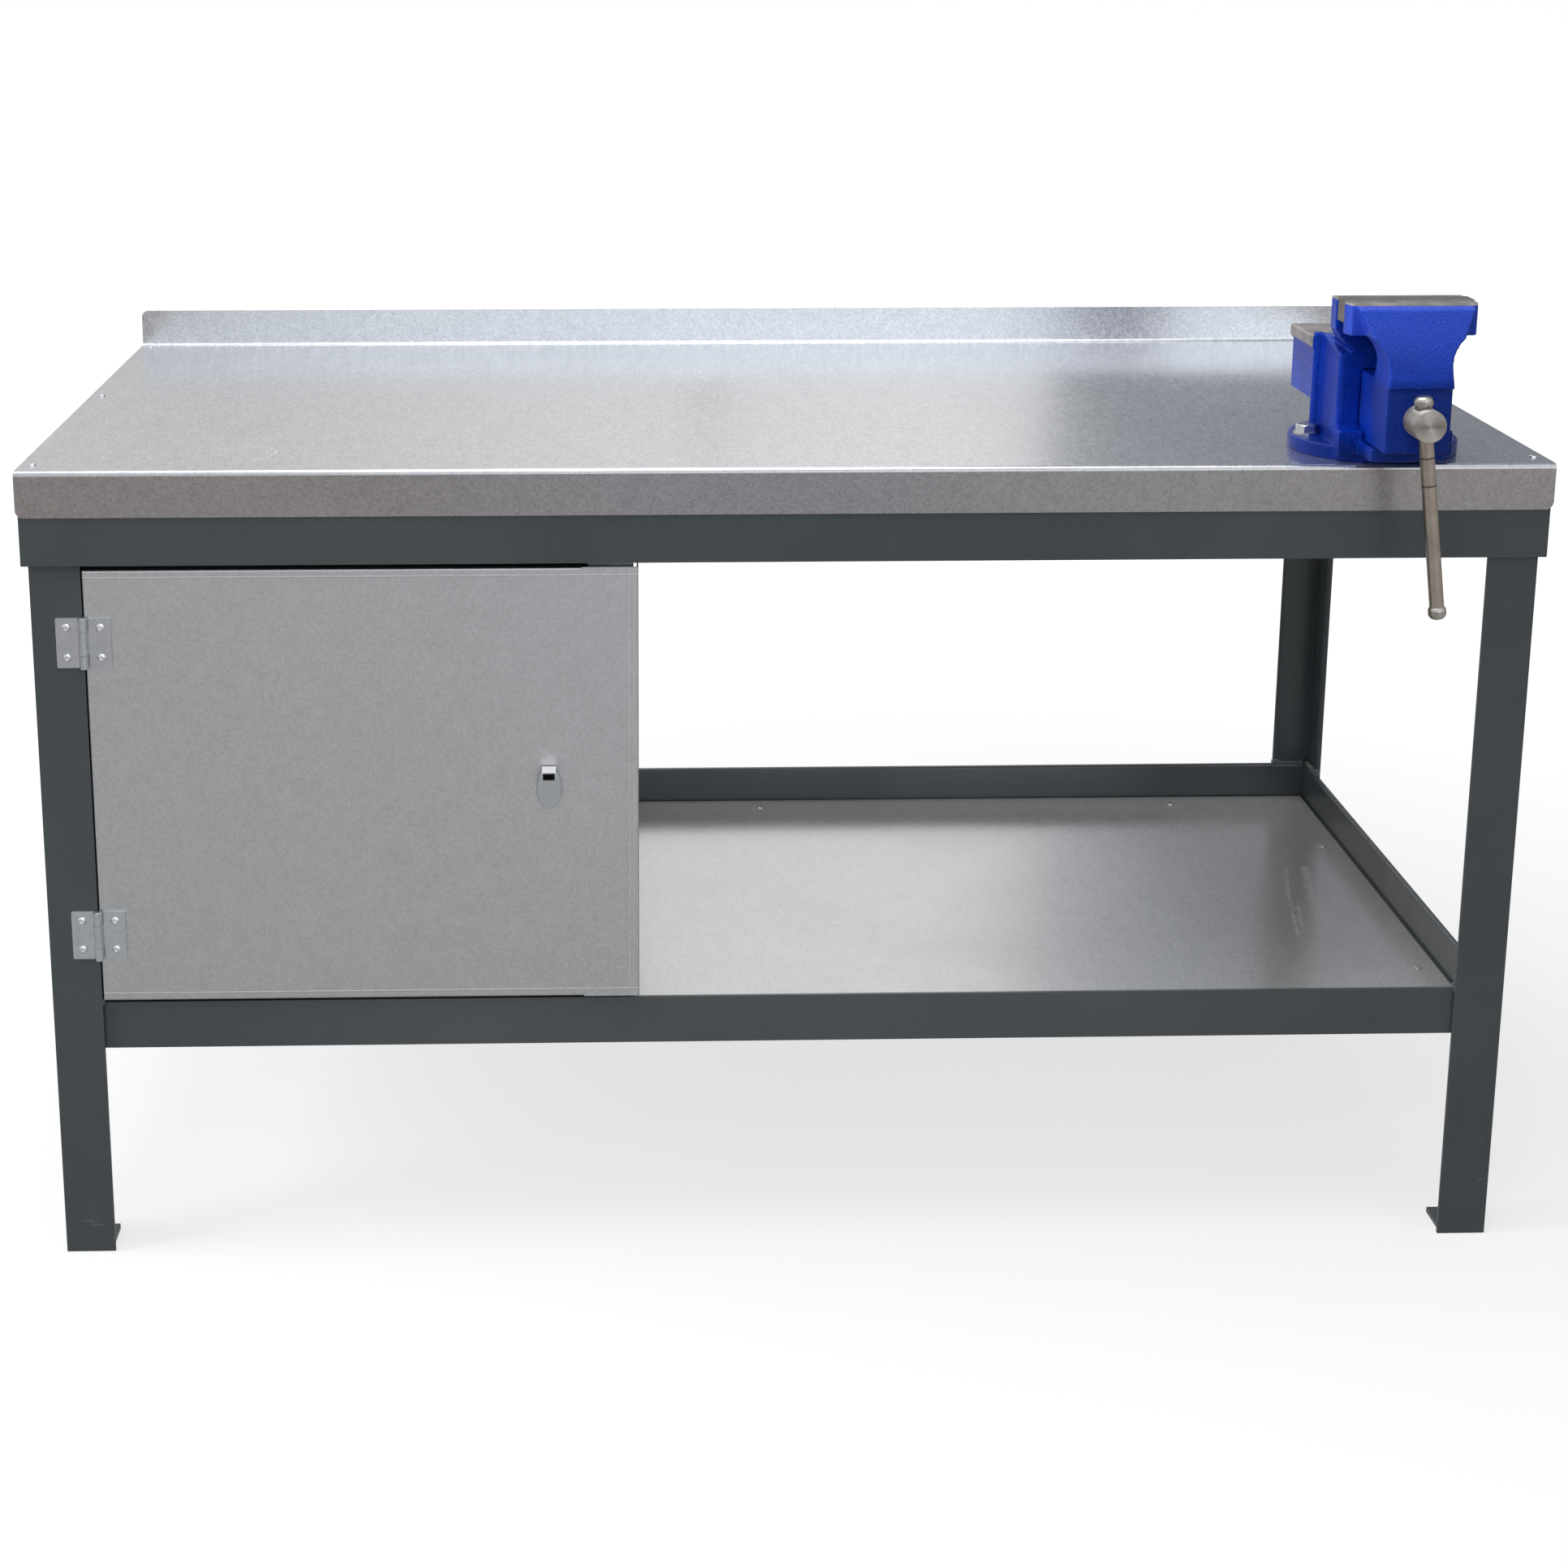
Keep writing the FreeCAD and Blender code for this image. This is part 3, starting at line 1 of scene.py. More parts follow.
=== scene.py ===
"""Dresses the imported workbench: finishes, weld beads, bolts, rivets, castings and jaw teeth.

Metres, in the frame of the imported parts: X to the right, Y away from the front, Z up from the floor.
"""
import json
import math
import bmesh
import bpy
from mathutils import Matrix, Vector

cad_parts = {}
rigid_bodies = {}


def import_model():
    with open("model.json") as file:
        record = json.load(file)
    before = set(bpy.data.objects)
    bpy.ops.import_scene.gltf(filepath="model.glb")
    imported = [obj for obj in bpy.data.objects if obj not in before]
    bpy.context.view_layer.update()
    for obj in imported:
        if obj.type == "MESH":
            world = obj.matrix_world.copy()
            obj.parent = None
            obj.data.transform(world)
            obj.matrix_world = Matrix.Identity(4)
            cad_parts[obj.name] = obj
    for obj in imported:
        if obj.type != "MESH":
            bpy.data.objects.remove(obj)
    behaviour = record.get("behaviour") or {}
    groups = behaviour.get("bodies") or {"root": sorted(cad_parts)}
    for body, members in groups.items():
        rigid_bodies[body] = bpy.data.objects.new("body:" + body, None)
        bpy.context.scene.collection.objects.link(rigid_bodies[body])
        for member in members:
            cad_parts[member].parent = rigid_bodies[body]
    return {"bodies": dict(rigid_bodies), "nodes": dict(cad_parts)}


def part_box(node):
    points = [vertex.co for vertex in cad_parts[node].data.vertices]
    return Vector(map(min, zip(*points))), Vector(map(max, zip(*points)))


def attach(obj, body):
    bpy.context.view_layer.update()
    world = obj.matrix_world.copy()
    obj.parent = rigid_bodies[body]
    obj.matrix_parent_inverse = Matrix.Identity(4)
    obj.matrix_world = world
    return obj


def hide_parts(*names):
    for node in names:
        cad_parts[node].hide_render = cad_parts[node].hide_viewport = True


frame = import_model()
nodes = frame["nodes"]
scene = bpy.context.scene
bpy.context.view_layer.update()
MM = 0.001


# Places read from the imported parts

def middle(node):
    low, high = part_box(node)
    return (low + high) / 2


vice_x = middle("vice_screw").x
worktop, jaw_top = (corner.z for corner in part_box("vice_body"))
jaw_line = (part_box("moving_jaw_plate")[1].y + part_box("fixed_jaw_plate")[0].y) / 2
handle_top = middle("handle_knob_upper")
handle_up = (handle_top - middle("handle_knob_lower")).normalized()
handle_cross = Vector((vice_x, handle_top.y, middle("vice_screw").z))
body_of = {name: body for body, holder in frame["bodies"].items() for name, node in nodes.items()
           if node.parent == holder}


# Node trees

class Graph:
    """Adds and links the nodes of one tree."""

    def __init__(self, tree):
        self.tree = tree

    def add(self, kind, values=(), **settings):
        node = self.tree.nodes.new(kind)
        for key, value in settings.items():
            setattr(node, key, value)
        for key, value in dict(values).items():
            self.feed(node.inputs[key], value)
        return node

    def feed(self, socket, value):
        if isinstance(value, bpy.types.NodeSocket):
            self.tree.links.new(value, socket)
        else:
            socket.default_value = value

    def math(self, operation, *values):
        node = self.add("ShaderNodeMath", enumerate(values), operation=operation)
        return node.outputs[0]

    def vector(self, operation, *values):
        node = self.add("ShaderNodeVectorMath", enumerate(values), operation=operation)
        return node.outputs["Value" if operation in ("LENGTH", "DOT_PRODUCT") else "Vector"]

    def ramp(self, value, low, high, start=0.0, end=1.0):
        """Smooth step of value from low to high."""
        node = self.add("ShaderNodeMapRange", {"Value": value, "From Min": low, "From Max": high,
                                               "To Min": start, "To Max": end},
                        interpolation_type="SMOOTHSTEP")
        return node.outputs["Result"]

    def span(self, value, start, end, low=0.0, high=1.0):
        """Straight map of a 0 to 1 value onto start to end."""
        node = self.add("ShaderNodeMapRange", {"Value": value, "From Min": low, "From Max": high,
                                               "To Min": start, "To Max": end})
        return node.outputs["Result"]

    def blend(self, factor, first, second):
        """Colour between first and second."""
        node = self.add("ShaderNodeMix", {0: factor, 6: first, 7: second}, data_type="RGBA")
        return node.outputs[2]

    def stops(self, value, points):
        """Colour or grey read off points of (value, level), from the lowest value to the highest."""
        low, high = points[0][0], points[-1][0]
        node = self.add("ShaderNodeValToRGB", {"Fac": self.span(value, 0.0, 1.0, low, high)})
        levels = [colour(*level) if isinstance(level, tuple) else grey(level) for place, level in points]
        marks = node.color_ramp.elements
        marks[0].color, marks[1].color = levels[0], levels[-1]
        for (place, level), tint in list(zip(points, levels))[1:-1]:
            marks.new((place - low) / (high - low)).color = tint
        return node.outputs["Color"]

    def noise(self, vector, scale, detail=2.0, roughness=0.5, distortion=0.0):
        node = self.add("ShaderNodeTexNoise", {"Vector": vector, "Scale": scale, "Detail": detail,
                                               "Roughness": roughness, "Distortion": distortion})
        return node.outputs["Fac"]

    def axes(self, vector):
        return self.add("ShaderNodeSeparateXYZ", {0: vector}).outputs

    def in_gloss(self, ray):
        """1 where a mirror or glass looks at the surface, 0 elsewhere."""
        return self.math("MAXIMUM", ray["Is Glossy Ray"], ray["Is Transmission Ray"])

    def even(self, value):
        """Vector with the same value three times."""
        return self.add("ShaderNodeCombineXYZ", {0: value, 1: value, 2: value}).outputs[0]

    def bump(self, height, distance, strength=1.0, normal=None):
        node = self.add("ShaderNodeBump", {"Height": height, "Distance": distance, "Strength": strength})
        if normal is not None:
            self.feed(node.inputs["Normal"], normal)
        return node.outputs["Normal"]


def colour(red, green, blue):
    return (red, green, blue, 1.0)


def grey(level):
    return colour(level, level, level)


def effect(name, inputs, outputs, build):
    """Shader node group with named sockets; build fills it and returns its outputs by name."""
    tree = bpy.data.node_groups.new(name, "ShaderNodeTree")
    for socket, kind, value in inputs:
        made = tree.interface.new_socket(name=socket, in_out="INPUT", socket_type="NodeSocket" + kind)
        if value is not None:
            made.default_value = value
    for socket in outputs:
        tree.interface.new_socket(name=socket, in_out="OUTPUT", socket_type="NodeSocketFloat")
    graph = Graph(tree)
    source = graph.add("NodeGroupInput").outputs
    end = graph.add("NodeGroupOutput")
    for socket, value in build(graph, source).items():
        graph.feed(end.inputs[socket], value)
    return tree


def build_spangle(g, source):
    """Small zinc crystals of random tone, with a finer grain and a soft mottle."""
    place = source["Position"]
    pitch = source["Cells per metre"]
    cells = g.add("ShaderNodeTexVoronoi", {"Vector": place, "Scale": pitch})
    crystal = g.axes(cells.outputs["Color"])[0]
    grain = g.noise(place, g.math("MULTIPLY", pitch, 1.9), 2.0, 0.7)
    mottle = g.noise(place, g.math("MULTIPLY", pitch, 0.13), 3.0, 0.6)
    tone = g.math("MULTIPLY_ADD", crystal, 0.42, g.math("MULTIPLY_ADD", grain, 1.1, -0.38))
    return {"Tone": g.math("MULTIPLY_ADD", mottle, 0.28, tone), "Height": grain}


def build_peel(g, source):
    """Rounded dimples of a sprayed or brushed coat."""
    pitch = g.math("DIVIDE", 1.0, source["Pitch"])
    lumps = g.noise(source["Position"], pitch, 1.5, 0.45)
    fine = g.noise(source["Position"], g.math("MULTIPLY", pitch, 3.1), 1.0)
    return {"Height": g.math("MULTIPLY_ADD", fine, 0.3, lumps)}


def build_drift(g, source):
    """Slow change of tone over a surface, such as dust and wiping."""
    scale = g.math("DIVIDE", 1.0, source["Size"])
    cloud = g.noise(source["Position"], scale, 4.0, 0.55, 0.6)
    return {"Mask": g.ramp(cloud, 0.35, 0.68)}


def build_smear(g, source):
    """Worn streak along a line, ragged at its edges and broken along its run."""
    place = source["Position"]
    run = g.vector("SUBTRACT", source["End"], source["Start"])
    offset = g.vector("SUBTRACT", place, source["Start"])
    share = g.math("DIVIDE", g.vector("DOT_PRODUCT", offset, run), g.vector("DOT_PRODUCT", run, run))
    share = g.math("MINIMUM", g.math("MAXIMUM", share, 0.0), 1.0)
    nearest = g.add("ShaderNodeVectorMath", {0: run, "Scale": share}, operation="SCALE").outputs["Vector"]
    away = g.vector("LENGTH", g.vector("SUBTRACT", offset, nearest))
    half = g.math("MULTIPLY", source["Width"], g.noise(place, 150.0, 3.0, 0.65))
    line = g.ramp(away, g.math("MULTIPLY", half, 0.15), g.math("MULTIPLY", half, 1.30), 1.0, 0.0)
    return {"Mask": g.math("MULTIPLY", line, g.ramp(g.noise(place, 60.0, 3.0), 0.30, 0.55, 0.35, 1.0))}


def build_band(g, source):
    """Soft-edged band of a coordinate."""
    away = g.math("ABSOLUTE", g.math("SUBTRACT", source["Value"], source["Middle"]))
    return {"Mask": g.ramp(away, g.math("MULTIPLY", source["Width"], 0.3),
                           g.math("MULTIPLY", source["Width"], 0.5), 1.0, 0.0)}


crystals_per_metre = 430.0
position = ("Position", "Vector", None)
spangle = effect("spangle", [position, ("Cells per metre", "Float", crystals_per_metre)],
                 ("Tone", "Height"), build_spangle)
peel = effect("orange peel", [position, ("Pitch", "Float", 4 * MM)], ("Height",), build_peel)
drift = effect("drift", [position, ("Size", "Float", 0.3)], ("Mask",), build_drift)
smear = effect("smear", [position, ("Start", "Vector", None), ("End", "Vector", None),
                         ("Width", "Float", 1 * MM)], ("Mask",), build_smear)
band = effect("band", [("Value", "Float", 0.0), ("Middle", "Float", 0.0), ("Width", "Float", 2 * MM)],
              ("Mask",), build_band)


# Finishes

class Finish(Graph):
    """A material with one Principled shader, fed by the nodes that its build function adds."""

    def __init__(self, name, **constants):
        material = bpy.data.materials.new(name)
        material.use_nodes = True
        material.node_tree.nodes.clear()
        super().__init__(material.node_tree)
        self.material = material
        self.shader = self.add("ShaderNodeBsdfPrincipled")
        end = self.add("ShaderNodeOutputMaterial")
        self.feed(end.inputs["Surface"], self.shader.outputs["BSDF"])
        for socket, value in constants.items():
            self.shader.inputs[socket.replace("_", " ")].default_value = value
        self.place = self.add("ShaderNodeTexCoord").outputs["Object"]

    def use(self, tree, output, **values):
        node = self.add("ShaderNodeGroup", node_tree=tree)
        for socket, value in values.items():
            self.feed(node.inputs[socket.replace("_", " ")], value)
        if "Position" in node.inputs and not node.inputs["Position"].is_linked:
            self.feed(node.inputs["Position"], self.place)
        return node.outputs[output]

    def set(self, **values):
        for socket, value in values.items():
            self.feed(self.shader.inputs[socket.replace("_", " ")], value)
        return self.material


def galvanised(name, dark, light, rough, dull=0.0, lip=None, rolled=1.0, dusty=0.0, marks=()):
    """Zinc-coated sheet, its crystals drawn out along Y where rolled is below 1. Below the level lip
    it is made rougher and darkened toward brown grey, a painted reflection of the floor; dusty dulls its back
    and right end; marks are (points, width, strength)."""
    f = Finish(name, Metallic=1.0 - dull)
    sheet = f.vector("MULTIPLY", f.place, (1.0, rolled, 1.0))
    tone = f.use(spangle, "Tone", Position=sheet)
    clouds = f.use(drift, "Mask", Size=0.35)
    base = f.blend(tone, colour(*dark), colour(*light))
    base = f.blend(f.math("MULTIPLY", clouds, 0.10), base, colour(0.50, 0.51, 0.53))
    wiped = f.noise(f.vector("MULTIPLY", f.place, (70.0, 30.0, 70.0)), 1.0, 4.0, 0.6)
    base = f.blend(f.ramp(wiped, 0.45, 0.75, 0.0, 0.10), base, colour(0.36, 0.37, 0.40))
    worn = 0.0
    for points, width, strength in marks:
        for start, end in zip(points, points[1:]):
            mask = f.use(smear, "Mask", Start=start, End=end, Width=width)
            worn = f.math("MAXIMUM", worn, f.math("MULTIPLY", mask, strength))
    base = f.blend(worn, base, colour(0.93, 0.93, 0.95))
    roughness = f.math("MULTIPLY_ADD", clouds, 0.03, f.span(tone, rough - 0.03, rough + 0.05))
    roughness = f.math("MULTIPLY_ADD", worn, 0.25, roughness)
    x, y, z = f.axes(f.place)
    if lip:
        below = f.ramp(z, lip - 4 * MM, lip - 1 * MM, 1.0, 0.0)
        above = f.ramp(z, lip + 1 * MM, lip + 4 * MM)
        folded = f.math("MULTIPLY_ADD", below, 0.09, f.math("MULTIPLY", above, 0.07))
        roughness = f.math("ADD", roughness, folded)
        # painted reflection: below the lip the sheet's colour is darkened toward the brown grey of the floor
        # it faces; the added roughness above is real
        base = f.blend(f.math("MULTIPLY", below, 0.45), base, colour(0.30, 0.255, 0.24))
    normal = f.bump(f.noise(f.place, 3.2, 1.0), 0.0005)
    normal = f.bump(f.use(spangle, "Height", Position=sheet), 0.00003, 0.5, normal)
    if dusty:
        grey_film = f.math("MAXIMUM", f.ramp(y, 0.23, 0.32), f.ramp(x, 0.40, 0.60))
        f.set(Metallic=f.span(grey_film, 1.0 - dull, 1.0 - dull - dusty))
    return f.set(Base_Color=base, Roughness=roughness, Normal=normal)


def door_finish():
    """Dull zinc-coated sheet with faint creases just inside its edges, painted lighter as highlights."""
    low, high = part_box("door_panel")
    f = Finish("door sheet", Metallic=1.0)
    tone = f.use(spangle, "Tone")
    x, y, z = f.axes(f.place)
    creases = ((x, high.x - 9.5 * MM, 1.8 * MM, 1.0), (x, high.x - 4.6 * MM, 1.6 * MM, 0.7),
               (z, high.z - 8 * MM, 1.8 * MM, 0.6), (z, low.z + 8 * MM, 1.8 * MM, 0.6))
    lines = 0.0
    for place, level, width, share in creases:
        line = f.use(band, "Mask", Value=place, Middle=level, Width=width)
        lines = f.math("MAXIMUM", lines, f.math("MULTIPLY", line, share))
    lightened = f.use(drift, "Mask", Size=0.30)
    base = f.blend(tone, grey(0.50), grey(0.68))
    base = f.blend(f.math("MULTIPLY", lightened, 0.10), base, colour(0.66, 0.66, 0.68))
    # painted highlight: the creases are coloured lighter where their bends would catch light; the bump below
    # is the real crease
    base = f.blend(f.math("MULTIPLY", lines, 0.4), base, grey(0.92))
    normal = f.bump(f.noise(f.place, 2.4, 1.0), 0.0006)
    normal = f.bump(lines, 0.0004, 0.8, normal)
    normal = f.bump(f.use(spangle, "Height"), 0.00003, 0.5, normal)
    return f.set(Base_Color=base, Roughness=f.span(tone, 0.40, 0.50), Normal=normal)


def frame_finish(name, gloss):
    """Dark slate paint over rolled angle with a little mill waviness, lighter by the shelf and most at the
    back, as dust and as painted light.
    """
    f = Finish(name, Roughness=0.3, Coat_Weight=gloss, Coat_Roughness=0.12, Specular_IOR_Level=0.5)
    x, y, z = f.axes(f.place)
    grain = f.noise(f.place, 900.0, 2.0, 0.6)
    dust = f.use(drift, "Mask", Size=0.22)
    base = f.blend(grain, colour(0.047, 0.061, 0.068), colour(0.083, 0.100, 0.109))
    base = f.blend(f.math("MULTIPLY", dust, 0.12), base, colour(0.13, 0.14, 0.145))
    by_shelf = f.math("MULTIPLY", f.use(band, "Mask", Value=z, Middle=0.25, Width=0.16),
                      f.ramp(f.math("ABSOLUTE", x), 0.30, 0.68, 1.0, 0.1))
    # dust and painted light: the rails by the shelf are lightened, most at the back, for dust and for the
    # light that falls on the back rail
    dust_and_painted_light = f.math("MULTIPLY", by_shelf, f.ramp(y, -0.3, 0.3, 0.30, 0.62))
    base = f.blend(dust_and_painted_light, base, colour(0.155, 0.170, 0.180))
    scuffs = f.ramp(f.noise(f.vector("MULTIPLY", f.place, (40.0, 40.0, 300.0)), 1.0, 3.0), 0.66, 0.72)
    low_down = f.ramp(z, 0.02, 0.25, 0.5, 0.0)
    base = f.blend(f.math("MULTIPLY", scuffs, low_down), base, colour(0.18, 0.18, 0.175))
    normal = f.bump(f.noise(f.place, 6.0, 1.0), 0.0005)
    normal = f.bump(f.use(peel, "Height", Pitch=2.2 * MM), 0.00009, 0.6, normal)
    rough = f.math("MULTIPLY_ADD", dust, 0.12, f.span(grain, 0.22, 0.34))
    return f.set(Base_Color=base, Roughness=rough, Normal=normal)


def enamel_finish():
    """Blue enamel on rough casting, bare where the jaws' tops and the anvil are machined, with painted shade
    low down and under the jaw and painted light on the jaw's upper front.
    """
    f = Finish("vice enamel", Specular_IOR_Level=0.32, Specular_Tint=colour(0.32, 0.50, 1.0))
    x, y, z = f.axes(f.place)
    cap_low, cap_high, cap_front = worktop + 100.8 * MM, worktop + 113.5 * MM, jaw_line + 88 * MM
    fade = 0.5 * MM
    over_jaw = f.ramp(z, jaw_top - 1.9 * MM, jaw_top - 1.1 * MM)
    at_anvil = f.math("MULTIPLY", f.ramp(z, cap_low - fade, cap_low + fade),
                      f.ramp(y, cap_front - fade, cap_front + fade))
    on_cap = f.math("MULTIPLY", at_anvil, f.ramp(z, cap_high - fade, cap_high + fade, 1.0, 0.0))
    bare = f.math("MAXIMUM", over_jaw, on_cap)
    worn = f.add("ShaderNodeNewGeometry").outputs["Pointiness"]
    flakes = f.noise(f.place, 420.0, 3.0, 0.7)
    chipped = f.math("MULTIPLY", f.ramp(worn, 0.56, 0.62), f.ramp(flakes, 0.60, 0.66))
    cleaned = f.math("MAXIMUM", bare, f.math("MULTIPLY", chipped, 0.75))
    streaks = f.noise(f.vector("MULTIPLY", f.place, (220.0, 1400.0, 900.0)), 1.0, 3.0)
    stain = f.use(drift, "Mask", Size=0.03)
    steel = f.blend(streaks, colour(0.33, 0.29, 0.24), colour(0.62, 0.56, 0.48))
    steel = f.blend(f.math("MULTIPLY", stain, 0.5), steel, colour(0.16, 0.12, 0.08))
    tone = f.use(drift, "Mask", Size=0.05)
    paint = f.blend(tone, colour(0.001, 0.024, 0.31), colour(0.002, 0.040, 0.46))
    on_jaw = f.ramp(y, jaw_line - 24 * MM, jaw_line - 12 * MM, 1.0, 0.0)
    # painted shade: the block under the moving jaw and the casting low down by the worktop are darkened in
    # colour where shade falls
    painted_shade_under_jaw = f.math("MULTIPLY", on_jaw, f.ramp(z, worktop + 80 * MM, worktop + 92 * MM, 0.60, 0.0))
    painted_shade = f.math("MAXIMUM", painted_shade_under_jaw, f.ramp(z, worktop + 8 * MM, worktop + 40 * MM, 0.60, 0.0))
    paint = f.blend(painted_shade, paint, colour(0.001, 0.009, 0.10))
    # painted light: the upper front of the moving jaw is lightened where light from above falls on it
    painted_light_on_jaw = f.math("MULTIPLY", on_jaw, f.ramp(z, worktop + 88 * MM, worktop + 145 * MM, 0.15, 0.70))
    paint = f.blend(painted_light_on_jaw, paint, colour(0.05, 0.12, 0.85))
    paint = f.blend(f.ramp(worn, 0.53, 0.6, 0.0, 0.35), paint, colour(0.04, 0.10, 0.62))
    lumps = f.use(peel, "Height", Pitch=2.1 * MM)
    rough_skin = f.math("MULTIPLY", lumps, f.math("SUBTRACT", 1.0, bare))
    normal = f.bump(rough_skin, 0.0013, 0.9)
    normal = f.bump(f.math("MULTIPLY", streaks, bare), 0.00006, 0.6, normal)
    return f.set(Base_Color=f.blend(cleaned, paint, steel), Metallic=f.math("MULTIPLY", cleaned, 0.55),
                 Roughness=f.span(cleaned, 0.20, 0.42), Normal=normal)


def turned_finish(name, dark, light, turns=0.0, marks=()):
    """Turned steel. turns is the pitch of tool rings round the screw; marks lie along the handle."""
    f = Finish(name, Metallic=1.0, Anisotropic=0.95 if turns else 0.0, Anisotropic_Rotation=0.25)
    if turns:
        rounds = f.add("ShaderNodeTangent", direction_type="RADIAL", axis="Y").outputs["Tangent"]
        f.set(Tangent=rounds)
    offset = f.vector("SUBTRACT", f.place, tuple(handle_cross))
    along = f.vector("DOT_PRODUCT", offset, tuple(handle_up))
    dx, dy, dz = f.axes(offset)
    radius = f.math("SQRT", f.math("ADD", f.math("MULTIPLY", dx, dx), f.math("MULTIPLY", dz, dz)))
    stain = f.use(drift, "Mask", Size=0.02)
    fine = f.noise(f.place, 700.0, 3.0, 0.6)
    base = f.blend(fine, colour(*dark), colour(*light))
    base = f.blend(f.math("MULTIPLY", stain, 0.35), base, colour(0.24, 0.19, 0.14))
    height = f.math("MULTIPLY", fine, 0.3)
    if turns:
        rings = f.math("SINE", f.math("MULTIPLY", radius, 2 * math.pi / turns))
        height = f.math("MULTIPLY_ADD", rings, 0.4, height)
    scribed = 0.0
    for level in marks:
        line = f.use(band, "Mask", Value=along, Middle=level, Width=2.2 * MM)
        scribed = f.math("MAXIMUM", scribed, line)
    base = f.blend(f.math("MULTIPLY", scribed, 0.7), base, colour(0.03, 0.025, 0.02))
    normal = f.bump(height, 0.00005, 0.8)
    rough = f.span(fine, 0.40, 0.52) if turns else f.span(fine, 0.24, 0.42)
    return f.set(Base_Color=base, Roughness=rough, Normal=normal)


def zinc_finish(name, dark, light, rough):
    """Plated small parts, with a fine crystalline tone."""
    f = Finish(name, Metallic=1.0)
    cells = 420.0
    tone = f.use(spangle, "Tone", Cells_per_metre=cells)
    wear = f.use(drift, "Mask", Size=0.012)
    base = f.blend(tone, colour(*dark), colour(*light))
    base = f.blend(f.math("MULTIPLY", wear, 0.15), base, colour(0.35, 0.33, 0.30))
    normal = f.bump(f.use(spangle, "Height", Cells_per_metre=cells), 0.00003, 0.6)
    return f.set(Base_Color=base, Roughness=f.math("MULTIPLY_ADD", wear, 0.08, rough), Normal=normal)


def latch_finish():
    """Bright plating, with a painted highlight in white on top of the lug and painted shade, near black, down
    in its socket.
    """
    low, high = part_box("latch_handle")
    f = Finish("latch plating")
    x, y, z = f.axes(f.place)
    socket_up = high.z - 4.5 * MM
    across = f.math("ABSOLUTE", f.math("SUBTRACT", x, (low.x + high.x) / 2))
    up = f.math("ABSOLUTE", f.math("SUBTRACT", z, socket_up))
    # painted shade: the hollow of the socket is coloured near black and made not metallic, where shade falls
    socket = 1.0
    for side in (f.ramp(across, 5.9 * MM, 6.1 * MM, 1.0, 0.0), f.ramp(up, 3.5 * MM, 3.7 * MM, 1.0, 0.0),
                 f.ramp(y, low.y + 0.4 * MM, low.y + 1.2 * MM),
                 f.ramp(y, low.y + 13 * MM, low.y + 14 * MM, 1.0, 0.0)):
        socket = f.math("MULTIPLY", socket, side)
    # painted highlight: the top face of the lug is coloured near white
    lightened = f.ramp(z, high.z - 0.5 * MM, high.z - 0.1 * MM)
    tone = f.use(spangle, "Tone", Cells_per_metre=700.0)
    base = f.blend(tone, colour(0.55, 0.58, 0.61), colour(0.67, 0.70, 0.73))
    base = f.blend(lightened, base, grey(0.95))
    base = f.blend(socket, base, grey(0.012))
    bright = f.math("SUBTRACT", 1.0, f.math("MAXIMUM", socket, f.math("MULTIPLY", lightened, 0.8)))
    return f.set(Base_Color=base, Metallic=bright, Roughness=f.span(socket, 0.20, 0.7),
                 Normal=f.bump(tone, 0.00002, 0.6))


def ply_finish():
    """Board with thin plies that show on its edges and a straight grain."""
    f = Finish("core board", Specular_IOR_Level=0.3)
    x, y, z = f.axes(f.place)
    ply = 2.6 * MM
    layer = f.math("FRACT", f.math("MULTIPLY", z, 1 / (2 * ply)))
    dark_ply = f.ramp(f.math("ABSOLUTE", f.math("SUBTRACT", layer, 0.5)), 0.2, 0.3)
    grain = f.noise(f.vector("MULTIPLY", f.place, (12.0, 160.0, 700.0)), 1.0, 4.0, 0.6)
    pale = f.blend(grain, colour(0.34, 0.245, 0.15), colour(0.50, 0.38, 0.25))
    brown = f.blend(grain, colour(0.24, 0.16, 0.09), colour(0.37, 0.26, 0.155))
    return f.set(Base_Color=f.blend(dark_ply, pale, brown), Roughness=f.span(grain, 0.65, 0.8),
                 Normal=f.bump(f.math("ADD", grain, dark_ply), 0.0002, 0.5))


shelf_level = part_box("shelf_sheet")[1].z
worktop_marks = [
    ([(-0.533, -0.260, worktop), (-0.519, -0.264, worktop), (-0.509, -0.276, worktop),
      (-0.507, -0.290, worktop), (-0.512, -0.309, worktop), (-0.525, -0.325, worktop)], 2.2 * MM, 0.65),
    ([(-0.533, -0.262, worktop), (-0.519, -0.272, worktop), (-0.515, -0.300, worktop)], 1.4 * MM, 0.4),
    ([(-0.599, -0.272, worktop), (-0.569, -0.281, worktop), (-0.547, -0.268, worktop),
      (-0.533, -0.260, worktop)], 2.4 * MM, 0.35),
    ([(-0.31, -0.06, worktop), (-0.25, -0.03, worktop)], 2.0 * MM, 0.15),
]
shelf_marks = [
    ([(0.664, 0.096, shelf_level), (0.650, 0.020, shelf_level), (0.644, -0.040, shelf_level)], 14 * MM, 0.36),
    ([(0.648, 0.000, shelf_level), (0.637, -0.095, shelf_level)], 22 * MM, 0.42),
    ([(0.640, 0.092, shelf_level), (0.617, -0.010, shelf_level), (0.600, -0.115, shelf_level)], 7 * MM, 0.30),
    ([(0.622, -0.030, shelf_level), (0.611, -0.090, shelf_level)], 7 * MM, 0.30),
]
